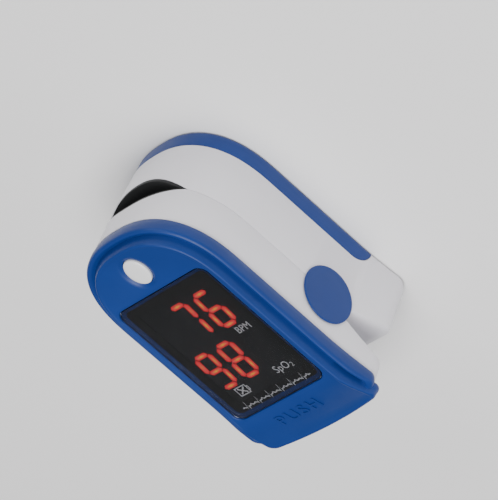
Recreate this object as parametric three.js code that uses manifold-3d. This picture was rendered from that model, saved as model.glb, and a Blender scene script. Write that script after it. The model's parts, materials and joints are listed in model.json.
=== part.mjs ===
// Fingertip pulse oximeter: a sprung clip of two halves that share one hinge.
// The display half carries the cover, display, switch and circuit board, and the battery half
// carries two AAA cells under a sliding cover. Each half has a silicone pad that lines the
// tunnel between them. Millimetres, +Z up.
// X runs across the clip, -Y is the end where the finger goes in, +Y is the end that is squeezed,
// and Z = 0 is the underside of the battery cover.

import * as THREE from "three";
import { mergeVertices } from "three/addons/utils/BufferGeometryUtils.js";
import Module from "manifold-3d";

const wasm = await Module();
wasm.setup();

// ---------------------------------------------------------------- driving dimensions

const LENGTH = 61.3; // over the cover, finger end to squeezed end
const COVER_WIDTH = 34.8; // over the brim, between the finger end and the flare
const HEIGHT = 31.6; // underside to the flat of the display panel
const SIDES = 28; // sides of a large circle
const FINE_SIDES = 16; // sides of a small circle
const FIT = 0.15; // clearance between pieces that seat in each other
const RUNNING = 0.08; // radial clearance round the axle
const SPAN = COVER_WIDTH / 2 + 2.6; // cutters run past both sides

const plan = {
  front: -LENGTH / 2, // tip of the rounded finger end
  end: LENGTH / 2, // tip of the squeezed end
  noseLength: 19.5, // how far back the rounded nose reaches
  roundness: 2.45, // exponent of the nose's superellipse
  flareStart: LENGTH / 2 - 18.65, // the sides widen from here to the squeezed end
};

const brim = {
  bottom: HEIGHT - 4.8,
  crest: HEIGHT - 1.47,
  channel: HEIGHT - 2.3, // floor of the channel between the brim and the panel
  endGap: 3.3, // how far short of the panel's tip the brim stops
  corner: 2.2,
  flare: 0.7,
};

const panel = {
  margin: 2.4, // from the brim's edge in to the edge of the panel
  corner: 1.8,
  bulge: 1.0, // the end edge is bowed by this much
  flare: 0.9,
  bead: 0.14, // height of the rounded rim round the panel
  skin: 2.0,
  slopeStart: 10.4, // the push pad slopes down over this length
  slopeDrop: 3.2,
};

const display = {
  width: 26.8,
  length: 35,
  corner: 2.3,
  centre: 0.75,
  thickness: 1.2,
  recess: 0.1, // the window's face lies this far below the panel
  ledge: 1.15, // width of the step that the window is bonded to
  moduleWidth: 21.2,
  moduleLength: 29,
};

const power = {
  y: plan.front + 8.3,
  halfWidth: 2.6,
  halfLength: 3.3,
  travel: 0.6,
  dish: 1.0, // width of the dished ring round the button
  dishDepth: 0.55,
};

const hinge = {
  y: plan.end - 20.8,
  z: 17.75,
  axle: 1.25,
  ear: 5.9, // radius of the battery half's outer ears
  innerEar: 4.0,
  capRadius: 6.3,
  capProud: 0.45,
  coil: 2.1, // mean radius of the torsion springs
  wire: 0.35,
  springX: 9,
  turns: 4,
};

const shell = {
  inset: 0.55, // the white walls stand in from the brim by this much
  noseInset: 0.1,
  taper: 0.3, // extra inset at the underside
  noseTaper: 0.9,
  wall: 1.3,
  parting: 17.4, // height of the line between the two halves
  partingGap: 0.12,
  upperFloor: HEIGHT - 9.7,
  floorThickness: 1.0,
  mouthHalf: 12.7, // half width of the finger opening
  mouthRise: 3.1, // arch in the display half
  mouthDrop: 4.2, // arch in the battery half
};

const tail = {
  upperSlope: 0.276, // underside of the display half's tail, rise over run
  lowerSlope: 0.327, // top of the battery half's tail
  upperOffset: 0.25, // height of the upper slope's line over the axle
  lowerOffset: 0.86, // height of the lower slope's line over the axle
  upperEnd: 2.7, // how far short of the panel's tip the display half's wall stops
  lowerEnd: 3.6,
  lowerCorner: 3.2,
};

const cell = {
  radius: 5.25, // AAA
  length: 43.3, // without the raised terminal
  terminal: 1.2,
  terminalRadius: 1.9,
  spacing: 11.2,
  seat: 0.15, // gap between a cell and the cover it lies over
  front: plan.front + 5.8, // front wall of the compartment
  springRoom: 3.4,
  plate: 0.3,
};

const door = {
  skin: 1.3,
  height: 4.3, // height of the band that wraps the finger end
  end: cell.front + 40.7, // where the cover meets the fixed tail, under the far end of the cells
  tipLength: 4.2, // the band's end is rounded over this length
  gap: 0.12,
  grips: 6,
  gripPitch: 2.0,
  gripDepth: 0.35,
};

const pad = {
  end: hinge.y - 6.4, // the pads stop short of the torsion springs
  stopThickness: 1.4,
  stopTop: 18.8,
  sensorY: hinge.y - 16.2, // the lamp and the sensor face each other here
};
const board = {
  bottom: HEIGHT - 7.6,
  thickness: 1.0,
  half: COVER_WIDTH / 2 - shell.inset - shell.wall - 1.25,
  end: plan.end - 11.5,
};
const ribbon = {
  half: 1.5,
  thickness: 0.22,
  drop: hinge.y - 4.6, // Y of its upright run
  slot: 1.4,
};
const cellZ = door.skin + cell.seat + cell.radius;
const cellX = cell.spacing / 2;
const screw = { shank: 0.8, head: 1.5, headHeight: 1.1 };

// ---------------------------------------------------------------- materials

const finish = (color, roughness, metalness = 0) =>
  new THREE.MeshStandardMaterial({ color, roughness, metalness });
const BLUE = finish(0x26508f, 0.45);
const WHITE = finish(0xe6e7e9, 0.5);
const TRAY_WHITE = finish(0xd9dadb, 0.6);
const SILICONE = finish(0x17181a, 0.75);
const SMOKED = finish(0x111114, 0.1);
const MODULE = finish(0x202224, 0.5);
const CLEAR = finish(0xbfd0d8, 0.1);
const BOARD_GREEN = finish(0x1d5a3a, 0.5);
const CHIP = finish(0x1a1a1c, 0.5);
const STEEL = finish(0xb9bcc0, 0.3, 1);
const CELL_SLEEVE = finish(0x3d4a55, 0.35, 0.3);
const AMBER = finish(0xb5701f, 0.4);

// ---------------------------------------------------------------- solids

// A closed geometry as a solid, with only its merged positions kept.
function solid(geometry) {
  const bare = geometry.index ? geometry.toNonIndexed() : geometry.clone();
  bare.deleteAttribute("normal");
  bare.deleteAttribute("uv");
  const merged = mergeVertices(bare, 1e-4);
  return new wasm.Manifold(
    new wasm.Mesh({
      numProp: 3,
      vertProperties: merged.attributes.position.array,
      triVerts: new Uint32Array(merged.index.array),
    }),
  );
}

const join = (...solids) => solids.reduce((whole, next) => whole.add(next));

// Outline points in XY, drawn out from one height to another.
function prism(points, low, high) {
  const shape = new THREE.Shape(points);
  const geometry = new THREE.ExtrudeGeometry(shape, { depth: high - low, bevelEnabled: false });
  return solid(geometry.translate(0, 0, low));
}

// A side profile of [y, z] points, drawn out across X.
function across(profile, low, high) {
  const shape = new THREE.Shape(profile.map(([y, z]) => new THREE.Vector2(y, z)));
  const geometry = new THREE.ExtrudeGeometry(shape, { depth: high - low, bevelEnabled: false });
  const turn = new THREE.Matrix4().makeBasis(
    new THREE.Vector3(0, 1, 0),
    new THREE.Vector3(0, 0, 1),
    new THREE.Vector3(1, 0, 0),
  );
  return solid(geometry.applyMatrix4(turn).translate(low, 0, 0));
}

// A front profile of [x, z] points, drawn out along Y.
function along(profile, low, high) {
  const shape = new THREE.Shape(profile.map(([x, z]) => new THREE.Vector2(x, z)));
  const geometry = new THREE.ExtrudeGeometry(shape, { depth: high - low, bevelEnabled: false });
  const turn = new THREE.Matrix4().makeBasis(
    new THREE.Vector3(1, 0, 0),
    new THREE.Vector3(0, 0, 1),
    new THREE.Vector3(0, -1, 0),
  );
  return solid(geometry.applyMatrix4(turn).translate(0, high, 0));
}

function box(x0, x1, y0, y1, z0, z1) {
  const geometry = new THREE.BoxGeometry(x1 - x0, y1 - y0, z1 - z0);
  return solid(geometry.translate((x0 + x1) / 2, (y0 + y1) / 2, (z0 + z1) / 2));
}

// Round bars along each axis.
function barX(radius, x0, x1, y, z, sides = SIDES) {
  const geometry = new THREE.CylinderGeometry(radius, radius, x1 - x0, sides);
  return solid(geometry.rotateZ(Math.PI / 2).translate((x0 + x1) / 2, y, z));
}

function barY(radius, x, y0, y1, z, sides = SIDES) {
  const geometry = new THREE.CylinderGeometry(radius, radius, y1 - y0, sides);
  return solid(geometry.translate(x, (y0 + y1) / 2, z));
}

function barZ(radius, x, y, z0, z1, sides = FINE_SIDES) {
  const geometry = new THREE.CylinderGeometry(radius, radius, z1 - z0, sides);
  return solid(geometry.rotateX(Math.PI / 2).translate(x, y, (z0 + z1) / 2));
}

// An upright oval that narrows or widens from its bottom to its top.
function oval(halfX, halfY, grow, y, z0, z1) {
  const geometry = new THREE.CylinderGeometry(1 + grow / halfX, 1, z1 - z0, SIDES);
  return solid(geometry.rotateX(Math.PI / 2).scale(halfX, halfY, 1).translate(0, y, (z0 + z1) / 2));
}

function roundedRectangle(halfX, halfY, radius, y) {
  const shape = new THREE.Shape();
  shape.moveTo(-halfX + radius, y - halfY);
  shape.lineTo(halfX - radius, y - halfY);
  shape.absarc(halfX - radius, y - halfY + radius, radius, -Math.PI / 2, 0);
  shape.absarc(halfX - radius, y + halfY - radius, radius, 0, Math.PI / 2);
  shape.absarc(-halfX + radius, y + halfY - radius, radius, Math.PI / 2, Math.PI);
  shape.absarc(-halfX + radius, y - halfY + radius, radius, Math.PI, Math.PI * 1.5);
  return shape.getPoints(4);
}

// ---------------------------------------------------------------- plan outlines

const smooth = (t) => Math.min(Math.max(t, 0), 1) ** 2;

// The right-hand half of a plan outline, from the middle of the nose to the middle of the end.
function halfOutline({ half, front, end, corner, bulge = 0, flare = 0 }) {
  const noseSteps = 14;
  const sideSteps = 6;
  const cornerSteps = 4;
  const endSteps = 4;
  const shoulder = plan.front + plan.noseLength;
  const nose = shoulder - front;
  const exponent = 2 / plan.roundness;
  const points = [[0, front]];
  for (let i = 1; i <= noseSteps; i++) {
    const angle = (Math.PI / 2) * (1 - i / noseSteps);
    const sideways = Math.cos(angle) ** exponent;
    const ahead = Math.max(Math.sin(angle), 0) ** exponent;
    points.push([half * sideways, shoulder - nose * ahead]);
  }
  const bend = end - bulge - corner;
  for (let i = 1; i <= sideSteps; i++) {
    const y = shoulder + ((bend - shoulder) * i) / sideSteps;
    points.push([half + flare * smooth((y - plan.flareStart) / (bend - plan.flareStart)), y]);
  }
  const wide = half + flare;
  for (let i = 1; i <= cornerSteps; i++) {
    const angle = ((Math.PI / 2) * i) / cornerSteps;
    points.push([wide - corner * (1 - Math.cos(angle)), bend + corner * Math.sin(angle)]);
  }
  for (let i = 1; i <= endSteps; i++) {
    const share = 1 - i / endSteps;
    points.push([(wide - corner) * share, end - bulge * share ** 2]);
  }
  return points;
}

// The whole outline, anticlockwise from above.
function outline(spec) {
  const right = halfOutline(spec);
  const left = right.slice(1, -1).reverse().map(([x, y]) => [-x, y]);
  return [...right, ...left].map(([x, y]) => new THREE.Vector2(x, y));
}

// A skin over a stack of outlines, each { ...spec, z }, where z is a function of y or a number.
// The caps are strips from side to side, so they follow a slope along Y.
function loft(rings) {
  const halves = rings.map((ring) => halfOutline(ring));
  const rows = halves[0].length;
  const corners = [];
  const at = (ring, row, side) => {
    const [x, y] = halves[ring][row];
    const { z } = rings[ring];
    return [x * side, y, typeof z === "function" ? z(y) : z];
  };
  const face = (...points) => points.forEach((point) => corners.push(...point));
  for (let k = 0; k < rings.length - 1; k++) {
    for (let i = 0; i < rows - 1; i++) {
      const [a, b, c, d] = [at(k, i, 1), at(k, i + 1, 1), at(k + 1, i + 1, 1), at(k + 1, i, 1)];
      face(a, b, c);
      face(a, c, d);
      const [e, f, g, h] = [at(k, i, -1), at(k, i + 1, -1), at(k + 1, i + 1, -1), at(k + 1, i, -1)];
      face(e, g, f);
      face(e, h, g);
    }
  }
  const top = rings.length - 1;
  for (let i = 0; i < rows - 1; i++) {
    if (i < rows - 2) {
      face(at(top, i, -1), at(top, i + 1, 1), at(top, i + 1, -1));
      face(at(0, i, -1), at(0, i + 1, -1), at(0, i + 1, 1));
    }
    if (i > 0) {
      face(at(top, i, -1), at(top, i, 1), at(top, i + 1, 1));
      face(at(0, i, -1), at(0, i + 1, 1), at(0, i, 1));
    }
  }
  const geometry = new THREE.BufferGeometry();
  geometry.setAttribute("position", new THREE.Float32BufferAttribute(corners, 3));
  return solid(geometry);
}

const slopeFrom = plan.end - panel.slopeStart;
const slope = (y) => panel.slopeDrop * Math.max((y - slopeFrom) / panel.slopeStart, 0) ** 1.3;

const brimSpec = (inset, z, share = 0) => ({
  half: COVER_WIDTH / 2 - inset,
  front: plan.front + inset,
  end: plan.end - brim.endGap - inset,
  corner: brim.corner,
  flare: brim.flare,
  z: (y) => z - share * slope(y),
});

const panelSpec = (inset, z, share = 0) => ({
  half: COVER_WIDTH / 2 - panel.margin - inset,
  front: plan.front + panel.margin + inset,
  end: plan.end - Math.max(inset, 0),
  corner: panel.corner,
  bulge: panel.bulge,
  flare: panel.flare,
  z: (y) => z - share * slope(y),
});

const wallSpec = (inset, end, corner, z) => ({
  half: COVER_WIDTH / 2 - shell.inset - inset,
  front: plan.front + shell.noseInset + inset,
  end,
  corner,
  flare: brim.flare,
  z,
});

const baseSpec = (inset, end, corner, z) => ({
  half: COVER_WIDTH / 2 - shell.inset - shell.taper - inset,
  front: plan.front + shell.noseInset + shell.noseTaper + inset,
  end,
  corner,
  flare: brim.flare,
  z,
});

const wallInside = outline(wallSpec(shell.wall, plan.end - 4, tail.lowerCorner, 0));
const baseInside = outline(baseSpec(shell.wall, plan.end - 4, tail.lowerCorner, 0));

// Heights of the two slopes that face each other behind the hinge.
const upperLine = (y) => hinge.z + tail.upperOffset + tail.upperSlope * (y - hinge.y);
const lowerLine = (y) => hinge.z + tail.lowerOffset - tail.lowerSlope * (y - hinge.y);

// The stretch along Y that a cutter of the finger opening covers.
const noseFrom = plan.front - 9.35;
const noseTo = plan.front + 10.65;

// Half of the finger opening's lens shape: points over the width with a sagitta.
function mouthArch(sagitta, half = shell.mouthHalf) {
  const steps = 12;
  return Array.from({ length: steps + 1 }, (_, i) => {
    const x = half * (1 - (2 * i) / steps);
    return [x, shell.parting + sagitta * (1 - (x / half) ** 2)];
  });
}

// ---------------------------------------------------------------- the object

const root = new THREE.Group();

function place(name, body, material) {
  const mesh = body.getMesh();
  const geometry = new THREE.BufferGeometry();
  geometry.setAttribute("position", new THREE.BufferAttribute(mesh.vertProperties, 3));
  geometry.setIndex(new THREE.BufferAttribute(mesh.triVerts, 1));
  geometry.computeVertexNormals();
  const piece = new THREE.Mesh(geometry, material);
  piece.name = name;
  root.add(piece);
}

const SIDES_OF_X = [
  ["left", -1],
  ["right", 1],
];

// ---------------------------------------------------------------- display half

const windowTop = HEIGHT - display.recess;
const windowBottom = windowTop - display.thickness;
const ceiling = HEIGHT - panel.skin; // underside of the panel
const boardTop = board.bottom + board.thickness;
const floorTop = shell.upperFloor + shell.floorThickness;
const coverScrewY = plan.end - 8.6;
const coverScrew = {
  x: 10,
  y: coverScrewY,
  boss: 2.1,
  headSeat: upperLine(coverScrewY) + 1.8,
  top: HEIGHT - 4.4,
};
const boardScrew = { x: board.half - 1.9, y: display.centre - 14.1 };

function makeTopCover() {
  const rim = loft([
    brimSpec(0.2, brim.bottom),
    brimSpec(0, brim.bottom + 1.4, 0.2),
    brimSpec(0.08, brim.crest - 0.7, 0.5),
    brimSpec(0.35, brim.crest - 0.15, 0.55),
    brimSpec(0.7, brim.crest, 0.55),
    brimSpec(1.15, brim.crest - 0.22, 0.6),
    brimSpec(1.9, brim.channel, 1),
  ]);
  const raised = loft([
    panelSpec(-0.6, brim.bottom + 0.15),
    panelSpec(-0.6, brim.channel + 0.05, 0.7),
    panelSpec(-0.35, HEIGHT - 1.1, 1),
    panelSpec(-0.1, HEIGHT - 0.35, 1),
    panelSpec(0.2, HEIGHT + panel.bead - 0.04, 1),
    panelSpec(0.5, HEIGHT + panel.bead, 1),
    panelSpec(0.95, HEIGHT, 1),
  ]);
  const lowHollow = loft([
    brimSpec(1.4, brim.bottom - 1),
    brimSpec(1.4, brim.channel - 1.2, 1),
  ]);
  const highHollow = loft([
    panelSpec(1.1, brim.bottom - 1),
    panelSpec(1.1, ceiling, 1),
  ]);
  const endWall = box(-SPAN, SPAN, plan.end - 4.6, plan.end + 1, 20, HEIGHT);
  const hollow = join(lowHollow, highHollow).subtract(endWall);
  const seat = prism(
    roundedRectangle(display.width / 2 + FIT / 2, display.length / 2 + FIT / 2, display.corner, display.centre),
    windowBottom,
    HEIGHT + 1,
  );
  const opening = prism(
    roundedRectangle(display.width / 2 - display.ledge, display.length / 2 - display.ledge, 1.3, display.centre),
    ceiling - 1,
    HEIGHT,
  );
  const buttonHole = oval(power.halfWidth + FIT, power.halfLength + FIT, 0, power.y, ceiling - 1, HEIGHT + 1);
  const dish = oval(
    power.halfWidth + FIT,
    power.halfLength + FIT,
    power.dish,
    power.y,
    HEIGHT - power.dishDepth,
    HEIGHT + 0.01,
  );
  let cover = join(rim, raised).subtract(hollow).subtract(seat).subtract(opening);
  cover = cover.subtract(buttonHole).subtract(dish);
  for (const [, side] of SIDES_OF_X) {
    const { x, y, boss, top } = coverScrew;
    const post = barZ(boss, side * x, y, coverScrew.headSeat + 2.2, HEIGHT - 3);
    cover = cover.add(post).subtract(barZ(screw.shank, side * x, y, 20, top + 0.3));
  }
  return cover;
}

function makeUpperShell() {
  const top = brim.bottom - FIT;
  const end = plan.end - tail.upperEnd;
  const bottom = shell.parting + shell.partingGap;
  const outer = loft([wallSpec(0, end, 3, bottom), wallSpec(0, end, 3, top)]);
  const skin = 1.2;
  const tailStart = hinge.y + hinge.ear;
  const above = across(
    [
      [plan.front - 5, floorTop],
      [tailStart - 1.8, floorTop],
      [tailStart + 0.8, upperLine(tailStart + 0.8) + skin],
      [end - 2.6, upperLine(end - 2.6) + skin],
      [end - 1.6, top - 1.4],
      [end - 1.6, top + 2],
      [plan.front - 5, top + 2],
    ],
    -SPAN,
    SPAN,
  ).intersect(prism(wallInside, 10, 40));
  const below = across(
    [
      [plan.front - 5, 10],
      [tailStart - 0.6, 10],
      [tailStart - 0.6, upperLine(tailStart - 0.6)],
      [tailStart - 2.8, shell.upperFloor],
      [plan.front - 5, shell.upperFloor],
    ],
    -SPAN,
    SPAN,
  ).intersect(prism(wallInside, 5, 40));
  const wedge = across(
    [
      [hinge.y, 5],
      [end + 8, 5],
      [end + 8, top + 0.5],
      [end + 0.6, top + 0.5],
      [end, top - 2.2],
      [end - 0.8, upperLine(end - 3) + 1.2],
      [end - 3, upperLine(end - 3)],
      [hinge.y, upperLine(hinge.y)],
    ],
    -SPAN,
    SPAN,
  );
  const arch = along([...mouthArch(shell.mouthRise), [-shell.mouthHalf, 10], [shell.mouthHalf, 10]], noseFrom, noseTo);
  let body = outer.subtract(above).subtract(below).subtract(wedge).subtract(arch);
  for (const [, side] of SIDES_OF_X) {
    const out = COVER_WIDTH / 2 + 1;
    const near = COVER_WIDTH / 2 - 3.4;
    const [x0, x1] = side < 0 ? [-out, -near] : [near, out];
    body = body.subtract(barX(hinge.ear + 0.25, x0, x1, hinge.y, hinge.z));
  }
  for (const [, side] of SIDES_OF_X) body = body.add(innerEar(side));
  body = body.subtract(barX(hinge.axle + RUNNING, -SPAN, SPAN, hinge.y, hinge.z, FINE_SIDES));
  const look = shell.floorThickness + 2;
  body = body.subtract(box(-2.2, 2.2, pad.sensorY - 2.4, pad.sensorY + 2.4, floorTop - look, floorTop + 0.5));
  const { drop, slot } = ribbon;
  body = body.subtract(box(-2.2, 2.2, drop - slot, drop + slot, floorTop - look, floorTop + 0.5));
  for (const [, side] of SIDES_OF_X) {
    const { x, y, boss, headSeat } = coverScrew;
    body = body.add(barZ(boss, side * x, y, upperLine(y) + 0.6, headSeat + 2.05));
    body = body.subtract(barZ(screw.head + 0.2, side * x, y, 15, headSeat));
    body = body.subtract(barZ(screw.shank + 0.15, side * x, y, 15, 30));
    const pillar = barZ(1.9, side * boardScrew.x, boardScrew.y, floorTop - 0.5, board.bottom - 0.02);
    body = body.add(pillar.intersect(prism(wallInside, 10, 40)));
    body = body.subtract(barZ(screw.shank, side * boardScrew.x, boardScrew.y, floorTop + 0.1, 30));
  }
  return body;
}

// A lug inside the display half that hangs down to the axle.
function innerEar(side) {
  const inner = COVER_WIDTH / 2 - shell.inset - shell.wall - 0.4;
  const [x0, x1] = side < 0 ? [-inner, -inner + 1.6] : [inner - 1.6, inner];
  const disc = barX(hinge.innerEar, x0, x1, hinge.y, hinge.z);
  const web = box(x0, x1, hinge.y - hinge.innerEar, hinge.y + hinge.innerEar, hinge.z, shell.upperFloor + 0.3);
  const room = across(
    [
      [hinge.y - 6, 5],
      [hinge.y + 1, 5],
      [hinge.y + 6, upperLine(hinge.y + 6) + 0.3],
      [hinge.y + 6, 30],
      [hinge.y - 6, 30],
    ],
    -SPAN,
    SPAN,
  );
  return join(disc, web.intersect(room));
}

function makeDisplayHalf() {
  place("top_cover", makeTopCover(), BLUE);
  place(
    "display_window",
    prism(
      roundedRectangle(display.width / 2, display.length / 2, display.corner, display.centre),
      windowBottom + 0.02,
      windowTop,
    ),
    SMOKED,
  );
  const { moduleWidth, moduleLength, centre } = display;
  const moduleBase = boardTop + 0.05;
  place(
    "led_display",
    box(
      -moduleWidth / 2,
      moduleWidth / 2,
      centre - moduleLength / 2,
      centre + moduleLength / 2,
      moduleBase,
      windowBottom - 0.9,
    ),
    MODULE,
  );
  place("upper_shell", makeUpperShell(), WHITE);
  place("upper_finger_pad", makeUpperPad(), SILICONE);
  makeElectronics();
  for (const [name, side] of SIDES_OF_X) {
    const { x, y, headSeat, top } = coverScrew;
    const head = barZ(screw.head, side * x, y, headSeat - screw.headHeight, headSeat - 0.02);
    const shank = barZ(screw.shank - 0.05, side * x, y, headSeat - 0.5, top);
    const slot = box(side * x - 1, side * x + 1, y - 0.18, y + 0.18, headSeat - 2, headSeat - screw.headHeight + 0.4);
    place("cover_screw_" + name, join(head, shank).subtract(slot), STEEL);
  }
  for (const [name, side] of SIDES_OF_X) {
    const { x, y } = boardScrew;
    const head = barZ(screw.head, side * x, y, boardTop + 0.02, boardTop + screw.headHeight);
    const shank = barZ(screw.shank - 0.05, side * x, y, floorTop + 0.2, boardTop + 0.5);
    place("board_screw_" + name, join(head, shank), STEEL);
  }
}

function makeUpperPad() {
  const side = COVER_WIDTH / 2 - shell.inset - shell.wall - 0.75;
  const low = shell.parting + 0.3;
  const lift = 0.15;
  const arch = mouthArch(shell.mouthRise - lift, shell.mouthHalf - 0.1).map(([x, z]) => [x, Math.max(z, low)]);
  const top = shell.upperFloor - 0.1;
  const profile = [[-side, top], [-side, low], ...arch.reverse(), [side, low], [side, top]];
  const room = outline({ ...wallSpec(shell.wall + FIT, pad.end, 2, 0), flare: 0 });
  const body = along(profile, plan.front, pad.end).intersect(prism(room, 10, 30));
  return body.subtract(box(-2.9, 2.9, pad.sensorY - 3.1, pad.sensorY + 3.1, 10, 30));
}

function makeElectronics() {
  const room = outline({ ...wallSpec(shell.wall + 0.9, board.end, 2, 0), half: board.half, flare: 0 });
  let plate = prism(room, board.bottom, boardTop);
  for (const [, side] of SIDES_OF_X) {
    plate = plate.subtract(barZ(screw.shank + 0.15, side * boardScrew.x, boardScrew.y, 20, 30));
  }
  place("circuit_board", plate, BOARD_GREEN);
  const under = board.bottom - 0.02;
  place("microcontroller", box(-9.5, -2.5, pad.sensorY - 12, pad.sensorY - 5, under - 0.9, under), CHIP);
  const socket = ribbon.drop + 3;
  place("flex_connector", box(-2.6, 2.6, socket, socket + 2.4, under - 0.95, under), CHIP);
  place("photodiode", box(-1.8, 1.8, pad.sensorY - 2, pad.sensorY + 2, shell.upperFloor + 0.05, under), CHIP);
  const glass = box(-2.7, 2.7, pad.sensorY - 2.9, pad.sensorY + 2.9, shell.parting + 3.05, shell.upperFloor - 0.02);
  place("sensor_window", glass, CLEAR);
  const bodyTop = boardTop + 2.5;
  const housing = box(-2.4, 2.4, power.y - 2.4, power.y + 2.4, boardTop + 0.02, bodyTop);
  const well = barZ(1.1, 0, power.y, boardTop + 0.8, bodyTop + 1);
  place("tact_switch", housing.subtract(well), CHIP);
  const stemEnd = bodyTop + power.travel + 0.1;
  place("switch_plunger", barZ(0.95, 0, power.y, boardTop + 0.8 + power.travel + 0.1, stemEnd - 0.05), AMBER);
  makePowerButton(stemEnd);
}

// An oval cap with a retaining flange under the panel and a stem on the switch.
function makePowerButton(stemEnd) {
  const { halfWidth, halfLength, y } = power;
  const rimZ = HEIGHT - 0.3;
  const profile = [
    [0, ceiling - 0.3],
    [1, ceiling - 0.3],
    [1, rimZ],
    [0.94, rimZ + 0.13],
    [0.8, rimZ + 0.23],
    [0.45, rimZ + 0.31],
    [0, rimZ + 0.33],
  ].map(([r, h]) => new THREE.Vector2(r, h));
  const turned = new THREE.LatheGeometry(profile, SIDES).rotateX(Math.PI / 2);
  const cap = solid(turned.scale(halfWidth, halfLength, 1).translate(0, y, 0));
  const flange = oval(halfWidth + 0.8, halfLength + 0.8, 0, y, ceiling - 0.75, ceiling - 0.12);
  const stem = barZ(1.3, 0, y, stemEnd, ceiling);
  place("power_button", join(cap, flange, stem), WHITE);
}

// ---------------------------------------------------------------- battery half

const compartmentEnd = cell.front + 2 * cell.plate + cell.length + cell.terminal + cell.springRoom;
const trayTop = cellZ + cell.radius + 0.7;
const trayBottom = door.skin + 0.2;
const trayHalf = cellX + cell.radius + 1.45; // half width of the tray below its roof
const track = { low: 3.1, high: 4.25, depth: 0.55 }; // the slot that a hook of the cover runs in
const trayScrew = { x: 3.2, y: cell.front - 1.8, seat: 7.9 };
const groove = { radius: 6, lift: 4.95 }; // the dip in the tray's roof between the cells

// The end of the band on the cover's side, as a quarter ellipse in side view.
function bandEnd(grow) {
  const steps = 6;
  return Array.from({ length: steps + 1 }, (_, i) => {
    const angle = (Math.PI / 2) * (1 - i / steps);
    const y = door.end - door.tipLength + (door.tipLength + grow) * Math.cos(angle);
    return [y, 0.5 + (door.height - 0.5 + grow) * Math.sin(angle)];
  });
}

function makeLowerShell() {
  const end = plan.end - tail.lowerEnd;
  const bottom = 0.55;
  const spread = [
    baseSpec(0, end, tail.lowerCorner, 0),
    wallSpec(0, end, tail.lowerCorner, shell.parting),
  ];
  const sideView = across(
    [
      [plan.front - 2, bottom],
      [end - 3.6, bottom],
      [end - 1.9, bottom + 0.5],
      [end - 0.7, bottom + 1.7],
      [end + 0.02, bottom + 3.6],
      [end + 0.3, lowerLine(end) - 1.1],
      [end - 0.2, lowerLine(end) - 0.3],
      [end - 1.1, lowerLine(end - 1.1)],
      [hinge.y + (hinge.z + tail.lowerOffset - shell.parting) / tail.lowerSlope, shell.parting],
      [plan.front - 2, shell.parting],
    ],
    -SPAN,
    SPAN,
  );
  let body = loft(spread).intersect(sideView);
  const face = COVER_WIDTH / 2 - shell.inset;
  for (const [, side] of SIDES_OF_X) {
    const [x0, x1] = side < 0 ? [-face, -face + shell.wall] : [face - shell.wall, face];
    body = body.add(barX(hinge.ear, x0, x1, hinge.y, hinge.z));
  }
  const skin = 1.25;
  const floor = bottom + 0.8;
  const tailStart = hinge.y + hinge.ear;
  const inside = across(
    [
      [plan.front - 2, -1],
      [door.end + door.gap, -1],
      [door.end + door.gap, floor],
      [end - 3.1, floor],
      [end - 1.8, floor + 1.6],
      [end - 1.35, floor + 3.4],
      [end - 1.35, lowerLine(end - 1.35) - skin],
      [tailStart - 0.4, lowerLine(tailStart - 0.4) - skin],
      [tailStart - 0.4, 30],
      [plan.front - 2, 30],
    ],
    -SPAN,
    SPAN,
  );
  const hollow = loft([
    baseSpec(shell.wall, end - 1.3, tail.lowerCorner - 1, -1),
    wallSpec(shell.wall, end - 1.3, tail.lowerCorner - 1, 30),
  ]);
  body = body.subtract(inside.intersect(hollow));
  const bandCut = across(
    [
      [plan.front - 2, -1],
      [door.end + door.gap, -1],
      ...bandEnd(door.gap).reverse(),
      [plan.front - 2, door.height + door.gap],
    ],
    -SPAN,
    SPAN,
  );
  body = body.subtract(bandCut);
  const archView = [...mouthArch(-shell.mouthDrop), [-shell.mouthHalf, 30], [shell.mouthHalf, 30]];
  const arch = along(archView.reverse(), noseFrom, noseTo);
  body = body.subtract(arch);
  body = body.subtract(barX(hinge.axle + RUNNING, -SPAN, SPAN, hinge.y, hinge.z, FINE_SIDES));
  for (const [, side] of SIDES_OF_X) {
    const [x0, x1] = side < 0 ? [-SPAN, -face + 0.9] : [face - 0.9, SPAN];
    body = body.subtract(barX(2.0, x0, x1, hinge.y, hinge.z, FINE_SIDES));
    const { x, y, seat } = trayScrew;
    const lug = box(side * x - 2, side * x + 2, y - 4, y + 1.5, seat, trayTop - 1.15);
    body = body.add(lug.intersect(loft([baseSpec(0.5, end, 3, -1), wallSpec(0.5, end, 3, 30)])));
    body = body.subtract(barZ(screw.shank, side * x, y, 5, trayTop - 1.3));
  }
  return body;
}

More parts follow.
